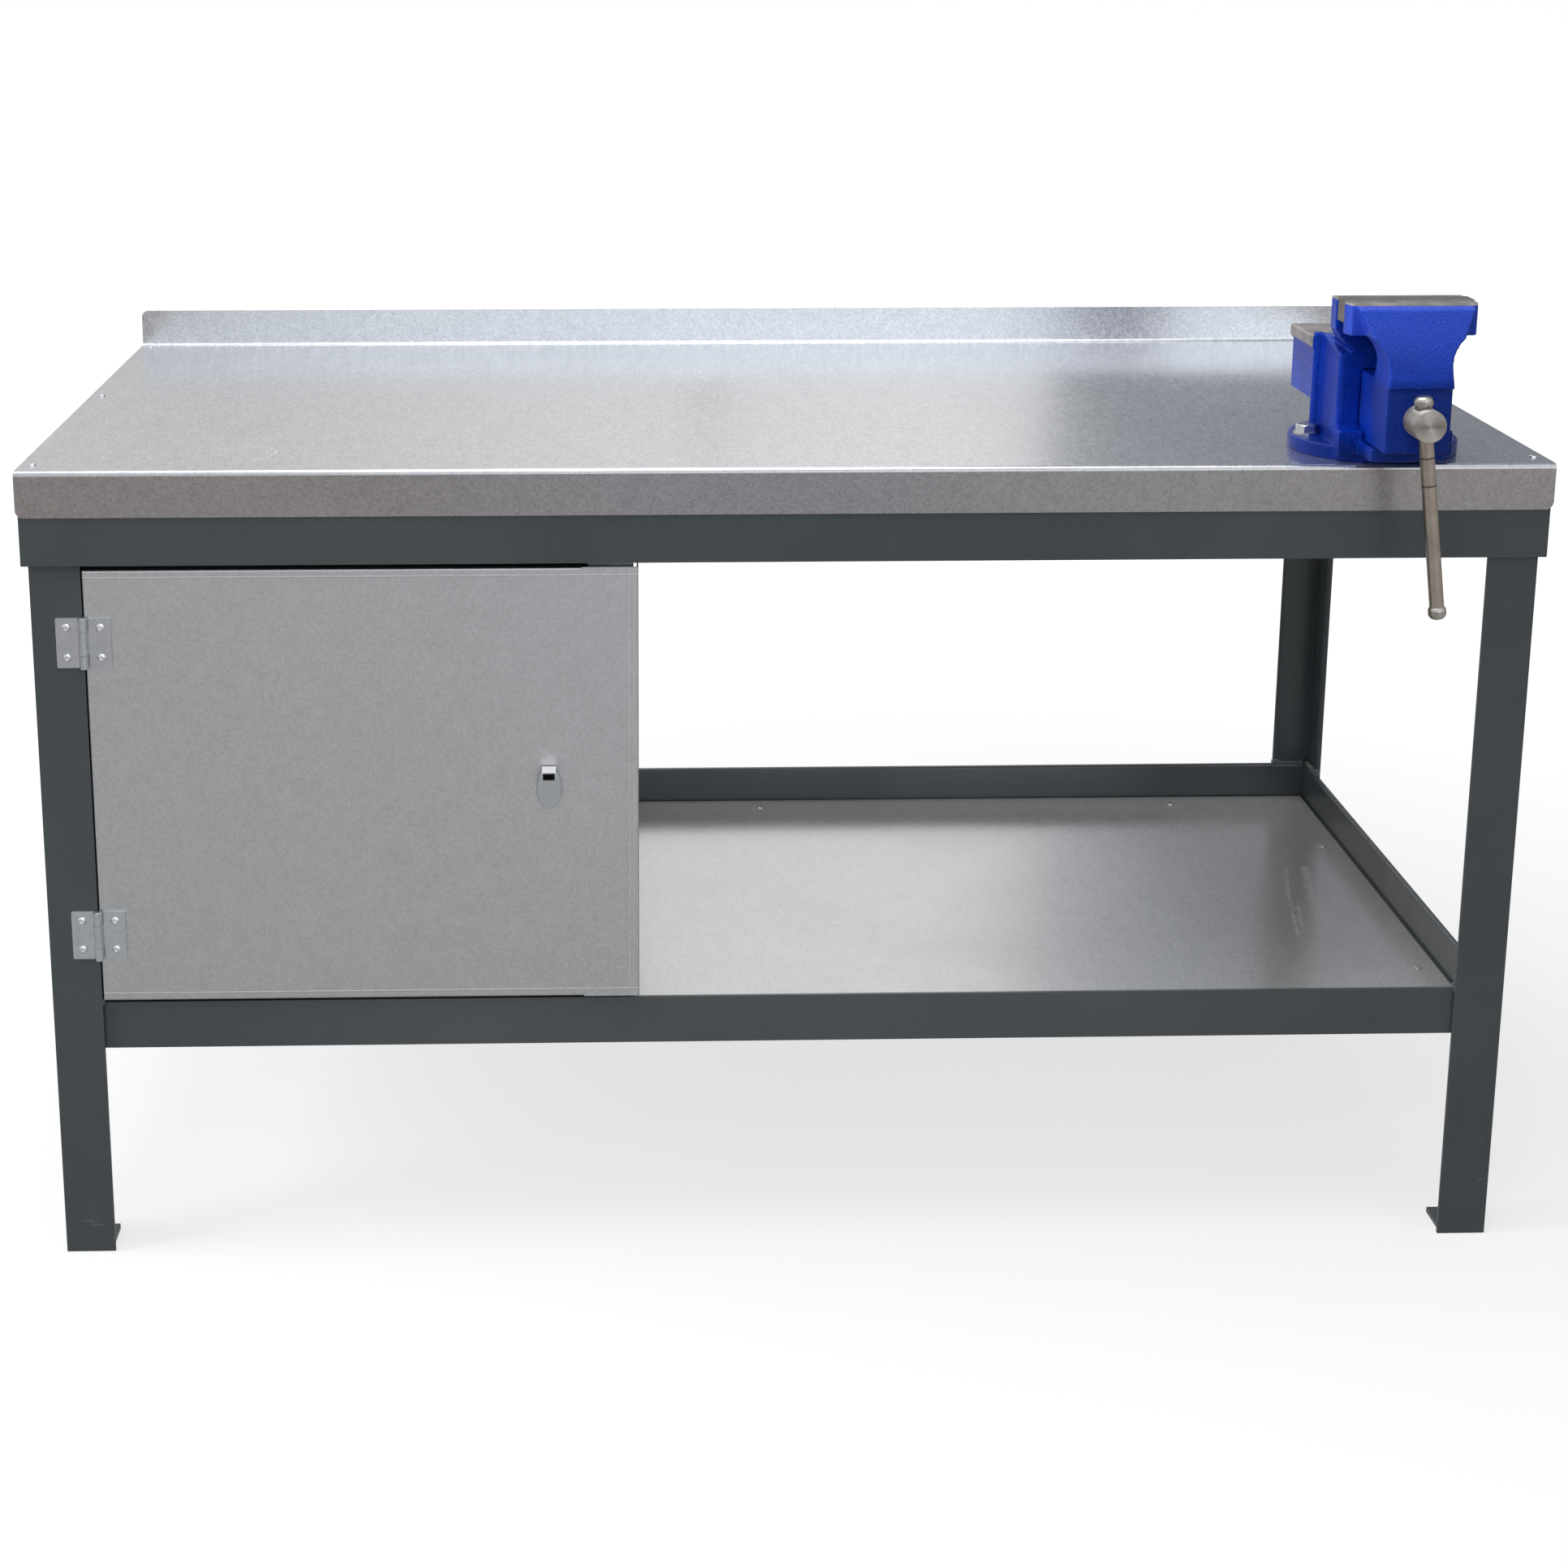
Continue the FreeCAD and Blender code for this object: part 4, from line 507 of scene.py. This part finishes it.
finishes = {
    "worktop": galvanised("galvanised worktop", (0.47, 0.48, 0.50), (0.77, 0.78, 0.80), 0.15,
                          dull=0.15, lip=worktop, rolled=0.35, marks=worktop_marks),
    "shelf": galvanised("galvanised shelf", (0.60, 0.60, 0.60), (0.79, 0.79, 0.79), 0.185,
                        dull=0.32, rolled=0.35, dusty=0.45, marks=shelf_marks),
    "panel": galvanised("galvanised panel", (0.50, 0.50, 0.51), (0.66, 0.66, 0.67), 0.34),
    "door": door_finish(),
    "frame": frame_finish("slate paint", 0.25),
    "weld": frame_finish("slate paint on weld", 1.0),
    "board": ply_finish(),
    "enamel": enamel_finish(),
    "screw": turned_finish("turned screw steel", (0.42, 0.39, 0.36), (0.62, 0.59, 0.55), 0.0009),
    "knob": turned_finish("knob steel", (0.46, 0.43, 0.39), (0.66, 0.63, 0.58)),
    "handle": turned_finish("handle steel", (0.42, 0.37, 0.32), (0.62, 0.56, 0.49),
                            marks=(-0.0328, -0.0600)),
    "jaw": turned_finish("jaw plate steel", (0.26, 0.25, 0.23), (0.44, 0.42, 0.39)),
    "zinc": zinc_finish("zinc plating", (0.62, 0.62, 0.61), (0.84, 0.84, 0.82), 0.26),
    "hinge": zinc_finish("hinge zinc", (0.58, 0.61, 0.64), (0.74, 0.77, 0.80), 0.30),
    "latch": latch_finish(),
    "rivet": zinc_finish("rivet aluminium", (0.74, 0.74, 0.74), (0.88, 0.88, 0.88), 0.22),
}

finish_of = {
    "worktop_sheet": "worktop", "shelf_sheet": "shelf", "door_panel": "door", "worktop_board": "board",
    "vice_body": "enamel", "moving_jaw": "enamel", "vice_screw": "screw", "screw_collar": "screw",
    "thrust_washer": "screw", "vice_nut": "handle", "handle_bar": "handle",
    "handle_knob_upper": "knob", "handle_knob_lower": "knob", "fixed_jaw_plate": "jaw",
    "moving_jaw_plate": "jaw", "fixed_jaw_screws": "jaw", "moving_jaw_screws": "jaw",
    "latch_handle": "latch", "latch_bush": "hinge", "latch_nut": "zinc",
    "frame_rivets": "rivet", "door_rivets": "rivet", "worktop_screws": "rivet", "shelf_screws": "rivet",
}
for name, node in nodes.items():
    key = finish_of.get(name, "zinc")
    if name.startswith(("leg_", "foot_", "top_rail", "shelf_rail", "top_bearer", "shelf_bearer")):
        key = "frame"
    elif name.startswith(("cupboard_side", "cupboard_end", "cupboard_back", "strike_")):
        key = "panel"
    elif name.startswith("hinge_"):
        key = "hinge"
    node.data.materials.clear()
    node.data.materials.append(finishes[key])


# Geometry Nodes

def growth(name, inputs, build):
    """Geometry Nodes tree with named inputs that ends realised and with its material."""
    tree = bpy.data.node_groups.new(name, "GeometryNodeTree")
    tree.interface.new_socket(name="Geometry", in_out="INPUT", socket_type="NodeSocketGeometry")
    for socket, kind in inputs:
        tree.interface.new_socket(name=socket, in_out="INPUT", socket_type="NodeSocket" + kind)
    tree.interface.new_socket(name="Material", in_out="INPUT", socket_type="NodeSocketMaterial")
    tree.interface.new_socket(name="Geometry", in_out="OUTPUT", socket_type="NodeSocketGeometry")
    g = Graph(tree)
    source = g.add("NodeGroupInput").outputs
    shape = build(g, source)
    whole = g.add("GeometryNodeRealizeInstances", {0: shape}).outputs[0]
    painted = g.add("GeometryNodeSetMaterial", {0: whole, "Material": source["Material"]}).outputs[0]
    g.feed(g.add("NodeGroupOutput").inputs[0], painted)
    return tree


def grown(name, tree, mesh, body, finish, **settings):
    """Piece that a tree makes from mesh, turned into a plain mesh that rides on body."""
    piece = bpy.data.objects.new(name, mesh)
    scene.collection.objects.link(piece)
    modifier = piece.modifiers.new("nodes", "NODES")
    modifier.node_group = tree
    sockets = {item.name: item.identifier for item in tree.interface.items_tree
               if item.item_type == "SOCKET" and item.in_out == "INPUT"}
    modifier[sockets["Material"]] = finishes[finish]
    for socket, value in settings.items():
        modifier[sockets[socket.replace("_", " ")]] = value
    return plain(piece, body)


def plain(piece, body):
    """Replace the piece's mesh by its evaluated one, drop its modifiers and let it ride on body."""
    bpy.context.view_layer.update()
    depsgraph = bpy.context.evaluated_depsgraph_get()
    made = bpy.data.meshes.new_from_object(piece.evaluated_get(depsgraph), depsgraph=depsgraph)
    piece.modifiers.clear()
    piece.data = made
    made.name = piece.name
    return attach(piece, body)


def paths_mesh(name, paths):
    mesh = bpy.data.meshes.new(name)
    points, edges = [], []
    for path in paths:
        start = len(points)
        points += [tuple(p) for p in path]
        edges += [(start + i, start + i + 1) for i in range(len(path) - 1)]
    mesh.from_pydata(points, edges, [])
    return mesh


def build_weld(g, source):
    """Bead along each path, with overlapping ripples and a little wander."""
    curve = g.add("GeometryNodeMeshToCurve", {0: source["Geometry"]}).outputs[0]
    step = g.math("DIVIDE", source["Ripple pitch"], 5.0)
    even = g.add("GeometryNodeResampleCurve", {0: curve, "Length": step}, mode="LENGTH").outputs[0]
    run = g.add("GeometryNodeSplineParameter").outputs["Length"]
    phase = g.math("FRACT", g.math("DIVIDE", run, source["Ripple pitch"]))
    lift = g.math("MULTIPLY_ADD", g.math("SQRT", phase), source["Ripple depth"], 0.8)
    place = g.add("GeometryNodeInputPosition").outputs[0]
    wander = g.noise(place, source["Wander per metre"], 1.0)
    size = g.math("MULTIPLY_ADD", wander, 0.5, g.math("SUBTRACT", lift, 0.25))
    ring = g.add("GeometryNodeCurvePrimitiveCircle", {"Resolution": 10, "Radius": source["Bead radius"]})
    bead = g.add("GeometryNodeCurveToMesh", {0: even, 1: ring.outputs[0], "Scale": size,
                                             "Fill Caps": True}).outputs[0]
    return g.add("GeometryNodeSetShadeSmooth", {0: bead}).outputs[0]


weld_tree = growth("weld bead", [("Bead radius", "Float"), ("Ripple pitch", "Float"),
                                 ("Ripple depth", "Float"), ("Wander per metre", "Float")], build_weld)


def weld_paths():
    """Corners where the rails and foot plates meet the legs, seen from inside and above."""
    wall, lift, inset, below_head = 6 * MM, 0.8 * MM, 1.2 * MM, 3 * MM
    rail_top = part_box("shelf_rail_front")[1].z + lift
    top_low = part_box("top_rail_front")[0].z + below_head
    paths = []
    for side_x, sx in (("left", -1), ("right", 1)):
        for side_y, sy in (("front", -1), ("back", 1)):
            leg_low, leg_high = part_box("leg_%s_%s" % (side_y, side_x))
            outer_x = leg_low.x if sx < 0 else leg_high.x
            outer_y = leg_low.y if sy < 0 else leg_high.y
            edge_x = leg_high.x if sx < 0 else leg_low.x
            edge_y = leg_high.y if sy < 0 else leg_low.y
            face_x = outer_x - sx * wall
            face_y = outer_y - sy * wall
            paths.append([(edge_x - sx * 2 * MM, face_y, rail_top), (face_x - sx * wall, face_y, rail_top)])
            paths.append([(face_x, edge_y - sy * 2 * MM, rail_top), (face_x, face_y - sy * wall, rail_top)])
            for x, y in ((edge_x, outer_y), (outer_x, edge_y)):
                x, y = x - sx * inset, y - sy * inset
                paths.append([(x, y, top_low), (x, y, leg_high.z - below_head)])
            plate_low, plate_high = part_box("foot_plate_%s_%s" % (side_y, side_x))
            foot = plate_high.z + lift
            plate_x = plate_high.x if sx < 0 else plate_low.x
            plate_y = plate_high.y if sy < 0 else plate_low.y
            inner_x, inner_y = face_x - sx * lift, face_y - sy * lift
            paths.append([(plate_x, inner_y, foot), (inner_x, inner_y, foot), (inner_x, plate_y, foot)])
    return paths


grown("weld_beads", weld_tree, paths_mesh("weld paths", weld_paths()), "bench", "weld",
      Bead_radius=4.0 * MM, Ripple_pitch=3.2 * MM, Ripple_depth=0.6, Wander_per_metre=160.0)


def hex_bolt_mesh(flats, head, shank, radius, thread):
    """Bolt with a chamfered head at z 0 and up, and a shank below with a ringed thread at its end."""
    segments, pitch = 48, 1.75 * MM
    mesh = bmesh.new()

    def ring(radii, heights):
        verts = []
        for i in range(segments):
            angle = 2 * math.pi * i / segments
            x, y = radii[i] * math.cos(angle), radii[i] * math.sin(angle)
            verts.append(mesh.verts.new((x, y, heights[i])))
        return verts

    edge = []
    for i in range(segments):
        turn = (2 * math.pi * i / segments) % (math.pi / 3) - math.pi / 6
        edge.append(flats / 2 / math.cos(turn))
    crown = 0.475 * flats
    tops = [head - max(0.0, r - crown) * math.tan(math.radians(30)) for r in edge]
    rings = [ring([r * 0.995 for r in edge], [0.0] * segments), ring(edge, [0.3 * MM] * segments),
             ring(edge, tops), ring([crown] * segments, [head] * segments),
             ring([crown * 0.6] * segments, [head] * segments)]
    outline = [(radius, 0.0), (radius, -(shank - thread))]
    for i in range(int(thread / pitch)):
        base = -(shank - thread) - (i + 0.5) * pitch
        outline += [(radius * 0.86, base), (radius, base - 0.8 * MM)]
    outline.append((radius * 0.8, -shank))
    for r, level in outline:
        rings.insert(0, ring([r] * segments, [level] * segments))
    for lower, upper in zip(rings, rings[1:]):
        for i in range(segments):
            j = (i + 1) % segments
            mesh.faces.new((lower[i], lower[j], upper[j], upper[i]))
    mesh.faces.new(list(reversed(rings[0])))
    mesh.faces.new(rings[-1])
    data = bpy.data.meshes.new("hex bolt")
    mesh.to_mesh(data)
    mesh.free()
    return data


def build_copies(g, source):
    """One copy of the pattern on each point, turned by its own angle up to the most turn."""
    pattern = g.add("GeometryNodeObjectInfo", {"Object": source["Pattern"]}).outputs["Geometry"]
    turn = g.add("FunctionNodeRandomValue", {2: 0.0, 3: source["Most turn"], "Seed": 4},
                 data_type="FLOAT").outputs[1]
    spin = g.add("ShaderNodeCombineXYZ", {2: turn}).outputs[0]
    points = g.add("GeometryNodeMeshToPoints", {0: source["Geometry"]}).outputs[0]
    return g.add("GeometryNodeInstanceOnPoints", {"Points": points, "Instance": pattern,
                                                  "Rotation": spin}).outputs[0]


copies_tree = growth("copies on points", [("Pattern", "Object"), ("Most turn", "Float")], build_copies)


def centres(vertices, reach):
    """Middle of each group of vertices that lie within reach of the group's first one."""
    groups = []
    for vertex in vertices:
        for group in groups:
            if (group[0] - vertex.co).length < reach:
                group.append(vertex.co.copy())
                break
        else:
            groups.append([vertex.co.copy()])
    return [Vector([(min(values) + max(values)) / 2 for values in zip(*group)]) for group in groups]


def copies(name, node, mesh, points, finish, most_turn=0.0):
    """Copies of mesh on points, in place of a packed set of fasteners."""
    pattern = bpy.data.objects.new("pattern", mesh)
    scene.collection.objects.link(pattern)
    places = bpy.data.meshes.new("places")
    places.from_pydata(points, [], [])
    piece = grown(name, copies_tree, places, body_of[node], finish, Pattern=pattern, Most_turn=most_turn)
    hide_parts(node)
    bpy.data.objects.remove(pattern)


bolt_low, bolt_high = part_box("vice_bolts")
bolt_head = 7.5 * MM
seat = bolt_high.z - bolt_head
bolt_tops = [v for v in nodes["vice_bolts"].data.vertices if bolt_high.z - v.co.z < 0.1 * MM]
bolt_mesh = hex_bolt_mesh(flats=19 * MM, head=bolt_head, shank=seat - bolt_low.z, radius=6 * MM,
                          thread=24 * MM)
copies("vice_bolt_set", "vice_bolts", bolt_mesh,
       [(c.x, c.y, seat) for c in centres(bolt_tops, 30 * MM)], "zinc", most_turn=math.pi)


# Eased edges and rivets

def eased(node, width):
    """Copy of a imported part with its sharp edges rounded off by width."""
    mesh = bmesh.new()
    mesh.from_mesh(nodes[node].data)
    bmesh.ops.remove_doubles(mesh, verts=mesh.verts, dist=1e-6)
    bmesh.ops.dissolve_limit(mesh, angle_limit=math.radians(0.5), verts=mesh.verts, edges=mesh.edges)
    data = bpy.data.meshes.new(node)
    mesh.to_mesh(data)
    mesh.free()
    piece = bpy.data.objects.new(node + "_eased", data)
    scene.collection.objects.link(piece)
    data.materials.append(nodes[node].data.materials[0])
    for face in data.polygons:
        face.use_smooth = True
    round_off = piece.modifiers.new("round off", "BEVEL")
    round_off.width = width
    round_off.segments = 2
    round_off.limit_method = "ANGLE"
    round_off.angle_limit = math.radians(40)
    flat = piece.modifiers.new("flat faces", "WEIGHTED_NORMAL")
    flat.weight = 100
    piece = plain(piece, body_of[node])
    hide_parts(node)


for name in nodes:
    if name.startswith(("leg_", "foot_plate", "top_rail", "shelf_rail")):
        eased(name, 0.9 * MM)
    elif name.startswith(("hinge_frame_leaf", "hinge_door_leaf", "latch_handle")):
        eased(name, 0.6 * MM)


def rivet_mesh(end):
    """Blind rivet along Y to end, its domed head at y 0 and forward, open where its pin broke off."""
    segments, grip, tail = 28, 2.3 * MM, 3.3 * MM
    profile = [(0.7, 0.6), (1.25, 0.8), (1.35, -1.1), (1.6, -1.5), (2.0, -1.6), (2.6, -1.5),
               (3.3, -1.15), (3.9, -0.65), (4.25, -0.2), (4.3, 0.0)]
    rings = [(radius * MM, level * MM) for radius, level in profile]
    rings += [(grip, 0.0), (grip, end - 3 * MM), (tail, end - 2.4 * MM), (tail, end - 0.8 * MM)]
    points = [(0.0, 0.7 * MM, 0.0), (0.0, end, 0.0)]
    starts = [len(points) + ring * segments for ring in range(len(rings))]
    for radius, level in rings:
        turns = [2 * math.pi * i / segments for i in range(segments)]
        points += [(radius * math.cos(turn), level, radius * math.sin(turn)) for turn in turns]
    faces = []
    for i in range(segments):
        j = (i + 1) % segments
        faces.append((0, starts[0] + i, starts[0] + j))
        faces += [(lower + i, upper + i, upper + j, lower + j) for lower, upper in zip(starts, starts[1:])]
        faces.append((starts[-1] + i, 1, starts[-1] + j))
    data = bpy.data.meshes.new("rivet")
    data.from_pydata(points, [], faces)
    for face in data.polygons:
        face.use_smooth = True
    return data


rivet_head = 1.6 * MM
for node in ("frame_rivets", "door_rivets"):
    low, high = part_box(node)
    heads = [v for v in nodes[node].data.vertices if v.co.y <= low.y + 1.0 * MM]
    copies(node.replace("rivets", "rivet_set"), node, rivet_mesh(high.y - low.y - rivet_head),
           [((low.x + high.x) / 2, low.y + rivet_head, c.z) for c in centres(heads, 12 * MM)], "rivet")


# Vice castings and jaws

def rounded_casting(node, extras=()):
    """Copy of a packed casting with softened corners, merged with the extra closed shells."""
    name = node + "_casting"
    mesh = bmesh.new()
    mesh.from_mesh(nodes[node].data)
    for extra in extras:
        extra(mesh)
    bmesh.ops.remove_doubles(mesh, verts=mesh.verts, dist=1e-6)
    data = bpy.data.meshes.new(name)
    mesh.to_mesh(data)
    mesh.free()
    piece = bpy.data.objects.new(name, data)
    scene.collection.objects.link(piece)
    voxels = piece.modifiers.new("voxels", "REMESH")
    voxels.mode = "VOXEL"
    voxels.voxel_size = 1.4 * MM
    voxels.use_smooth_shade = True
    soften = piece.modifiers.new("soften", "SMOOTH")
    soften.factor = 0.5
    soften.iterations = 2
    thin = piece.modifiers.new("thin", "DECIMATE")
    thin.ratio = 0.4
    piece = plain(piece, body_of[node])
    piece.data.materials.clear()
    piece.data.materials.append(finishes["enamel"])
    for face in piece.data.polygons:
        face.use_smooth = True
    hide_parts(node)


def column_ridges(mesh):
    """Half-round ridges up the back corners of the slide's housing."""
    radius, height, off_axis, behind_jaws, up = 6 * MM, 106 * MM, 56 * MM, 90 * MM, 63 * MM
    for side in (-1, 1):
        place = Matrix.Translation((vice_x + side * off_axis, jaw_line + behind_jaws, worktop + up))
        bmesh.ops.create_cone(mesh, cap_ends=True, segments=24, radius1=radius, radius2=radius,
                              depth=height, matrix=place)


rounded_casting("vice_body", [column_ridges])
rounded_casting("moving_jaw")


def build_teeth(g, source):
    """Plate whose gripping face is cut by two crossing sets of V grooves, drilled for its screws."""
    size = g.add("ShaderNodeCombineXYZ", {0: source["Length"], 1: source["Thickness"], 2: source["Height"]})
    block = g.add("GeometryNodeMeshCube", {"Size": size.outputs[0], "Vertices X": 201, "Vertices Y": 2,
                                           "Vertices Z": 37}).outputs[0]
    x, y, z = g.axes(g.add("GeometryNodeInputPosition").outputs[0])
    face = g.math("GREATER_THAN", g.math("MULTIPLY", y, source["Face side"]), 0.0)
    depth = 0.0
    for sign in (1.0, -1.0):
        run = g.math("DIVIDE", g.math("MULTIPLY_ADD", z, sign, x), source["Groove pitch"])
        saw = g.math("ABSOLUTE", g.math("SUBTRACT", g.math("FRACT", run), 0.5))
        depth = g.math("MAXIMUM", depth, g.math("SUBTRACT", 1.0, g.math("MULTIPLY", saw, 4.0)))
    inside = g.math("MULTIPLY", g.math("MULTIPLY", depth, source["Groove depth"]),
                    g.math("MULTIPLY", source["Face side"], -1.0))
    offset = g.add("ShaderNodeCombineXYZ", {1: inside}).outputs[0]
    cut = g.add("GeometryNodeSetPosition", {0: block, "Selection": face, "Offset": offset}).outputs[0]
    placed = g.add("GeometryNodeTransform", {0: cut, "Translation": source["Centre"]}).outputs[0]
    return g.add("GeometryNodeMeshBoolean", {0: placed, 1: source["Geometry"]}, operation="DIFFERENCE",
                 solver="EXACT").outputs[0]


teeth_tree = growth("serrated plate", [("Length", "Float"), ("Thickness", "Float"), ("Height", "Float"),
                                       ("Centre", "Vector"), ("Face side", "Float"),
                                       ("Groove pitch", "Float"), ("Groove depth", "Float")], build_teeth)


def screw_cores(node, face_side):
    """Closed plugs where the plate's screws go, wide at the gripping face."""
    low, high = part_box(node)
    bore, head, head_depth, proud, off_middle = 3.0 * MM, 6.1 * MM, 5.2 * MM, 0.2 * MM, 38 * MM
    through = (high.y - low.y) * 2.4
    level = high.y if face_side > 0 else low.y
    turn = Matrix.Rotation(-face_side * math.pi / 2, 4, "X")
    mesh = bmesh.new()
    for side in (-1, 1):
        for depth, inner, outer in ((head_depth, bore, head), (through, bore, bore)):
            start = level + face_side * (proud - depth / 2)
            place = Matrix.Translation((middle(node).x + side * off_middle, start, middle(node).z)) @ turn
            bmesh.ops.create_cone(mesh, cap_ends=True, segments=32, radius1=inner, radius2=outer,
                                  depth=depth, matrix=place)
    data = bpy.data.meshes.new(node + " cores")
    mesh.to_mesh(data)
    mesh.free()
    return data


for node, face_side in (("fixed_jaw_plate", -1), ("moving_jaw_plate", 1)):
    low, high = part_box(node)
    size = high - low
    plate = grown(node.replace("plate", "teeth"), teeth_tree, screw_cores(node, face_side), body_of[node],
                  "jaw", Length=size.x, Thickness=size.y, Height=size.z, Centre=middle(node),
                  Face_side=float(face_side), Groove_pitch=2.5 * MM, Groove_depth=0.7 * MM)
    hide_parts(node)


# Floor, world, lights and camera

def studio_floor():
    """White to the camera but for the bench's shadow, and in gloss the darker floor of a workshop."""
    mesh = bpy.data.meshes.new("studio_floor")
    reach = 30.0
    mesh.from_pydata([(-reach, -reach, 0), (reach, -reach, 0), (reach, reach, 0), (-reach, reach, 0)], [],
                     [(0, 1, 2, 3)])
    floor = bpy.data.objects.new("studio_floor", mesh)
    floor.location.z = -0.5 * MM
    scene.collection.objects.link(floor)
    f = Finish("studio floor", Roughness=1.0, Specular_IOR_Level=0.0)
    ray = f.add("ShaderNodeLightPath").outputs
    x, y, z = f.axes(f.place)
    away = f.vector("LENGTH", f.place)
    near = f.stops(away, ((0.0, 0.36), (1.1, 0.44), (1.9, 0.48), (2.8, 0.44), (4.5, 0.38)))
    far = f.stops(x, ((-2.5, (0.33, 0.28, 0.25)), (-1.0, (0.31, 0.265, 0.24)), (0.1, (0.29, 0.29, 0.36)),
                      (0.7, (0.31, 0.30, 0.33)), (1.4, (0.42, 0.395, 0.38)), (3.0, (0.40, 0.37, 0.35))))
    mirrored = f.blend(f.ramp(away, 2.4, 3.8), near, far)
    white = f.ramp(away, 0.9, 3.2, 0.70, 1.0)
    gloss = f.in_gloss(ray)
    f.set(Base_Color=f.blend(gloss, grey(0.38), grey(0.0)),
          Emission_Color=f.blend(gloss, grey(1.0), mirrored),
          Emission_Strength=f.math("MAXIMUM", gloss, f.math("MULTIPLY", white, ray["Is Camera Ray"])))
    mesh.materials.append(f.material)


def studio_world():
    """White behind the bench to the camera; in gloss, bright in front and dim at the back right."""
    world = bpy.data.worlds.new("studio")
    scene.world = world
    world.use_nodes = True
    world.node_tree.nodes.clear()
    g = Graph(world.node_tree)
    ray = g.add("ShaderNodeLightPath").outputs
    x, y, z = g.axes(g.add("ShaderNodeTexCoord").outputs["Generated"])
    bearing = g.math("DIVIDE", x, g.math("MAXIMUM", y, 0.05))
    back = g.stops(bearing, ((-0.30, 0.64), (-0.15, 0.60), (0.0, 0.76), (0.13, 0.86), (0.177, 0.84),
                             (0.186, (0.285, 0.30, 0.325)), (0.27, (0.225, 0.24, 0.27)),
                             (0.40, (0.225, 0.24, 0.27))))
    off_post = g.math("ABSOLUTE", g.math("SUBTRACT", bearing, 0.045))
    post = g.math("MULTIPLY", g.ramp(off_post, 0.003, 0.010, 0.55, 0.0), g.ramp(z, 0.166, 0.186, 1.0, 0.0))
    rising = g.math("MULTIPLY_ADD", g.ramp(bearing, 0.17, 0.20), g.ramp(z, 0.165, 0.21, -0.2, 0.12), 1.0)
    back = g.vector("MULTIPLY", back, g.even(g.math("SUBTRACT", rising, post)))
    low_wall = g.stops(z, ((0.2, 0.71), (0.34, 1.0), (1.0, 1.0)))
    back = g.vector("MULTIPLY", g.vector("MULTIPLY", back, (1.4, 1.4, 1.4)), low_wall)
    ahead = g.math("DIVIDE", x, g.math("MAXIMUM", g.math("MULTIPLY", y, -1.0), 0.05))
    across = g.math("ADD", g.ramp(ahead, -0.2, 0.02, 0.85, 1.7), g.ramp(ahead, 0.3, 0.9, 0.0, -0.8))
    windows = g.math("ADD", g.math("MULTIPLY", across, g.ramp(z, 0.30, 0.75, 1.0, 0.0)),
                     g.ramp(z, 0.30, 0.75, 0.0, 0.9))
    front = g.vector("MULTIPLY", g.even(windows), (0.98, 1.03, 1.10))
    room = g.blend(g.ramp(y, -0.25, 0.15), front, back)
    gloss = g.in_gloss(ray)
    soft = g.blend(gloss, grey(0.23), room)
    seen = g.blend(ray["Is Camera Ray"], soft, grey(1.0))
    sky = g.add("ShaderNodeBackground", {"Color": seen, "Strength": 1.0}).outputs[0]
    g.feed(g.add("ShaderNodeOutputWorld").inputs["Surface"], sky)


def softbox(name, place, aim, size, power, mirrored=True):
    light = bpy.data.lights.new(name, "AREA")
    light.shape = "RECTANGLE"
    light.size, light.size_y = size
    light.energy = power
    lamp = bpy.data.objects.new(name, light)
    lamp.location = place
    lamp.rotation_euler = (Vector(aim) - Vector(place)).to_track_quat("-Z", "Y").to_euler()
    lamp.visible_glossy = mirrored
    scene.collection.objects.link(lamp)


studio_floor()
studio_world()
softbox("overhead", (-0.2, -0.1, 3.4), (0.0, 0.0, 0.8), (3.2, 2.0), 55.0)
softbox("left window", (-3.4, -0.8, 2.0), (0.2, 0.0, 0.6), (2.0, 2.0), 80.0, mirrored=False)
softbox("front", (-1.0, -3.8, 2.6), (0.0, 0.0, 0.5), (1.8, 1.8), 28.0, mirrored=False)

camera = bpy.data.objects.new("camera", bpy.data.cameras.new("camera"))
scene.collection.objects.link(camera)
scene.camera = camera
camera.location = (-0.1915, -2.816, 1.356)
look_down, look_right = 13.24, 1.49
camera.rotation_euler = (math.radians(90 - look_down), 0.0, math.radians(-look_right))
camera.data.sensor_width = 36.0
camera.data.lens = 59.225
camera.data.shift_x = 0.08
camera.data.shift_y = -0.17
camera.data.clip_start = 0.05
camera.data.clip_end = 100.0
scene.view_settings.view_transform = "Standard"
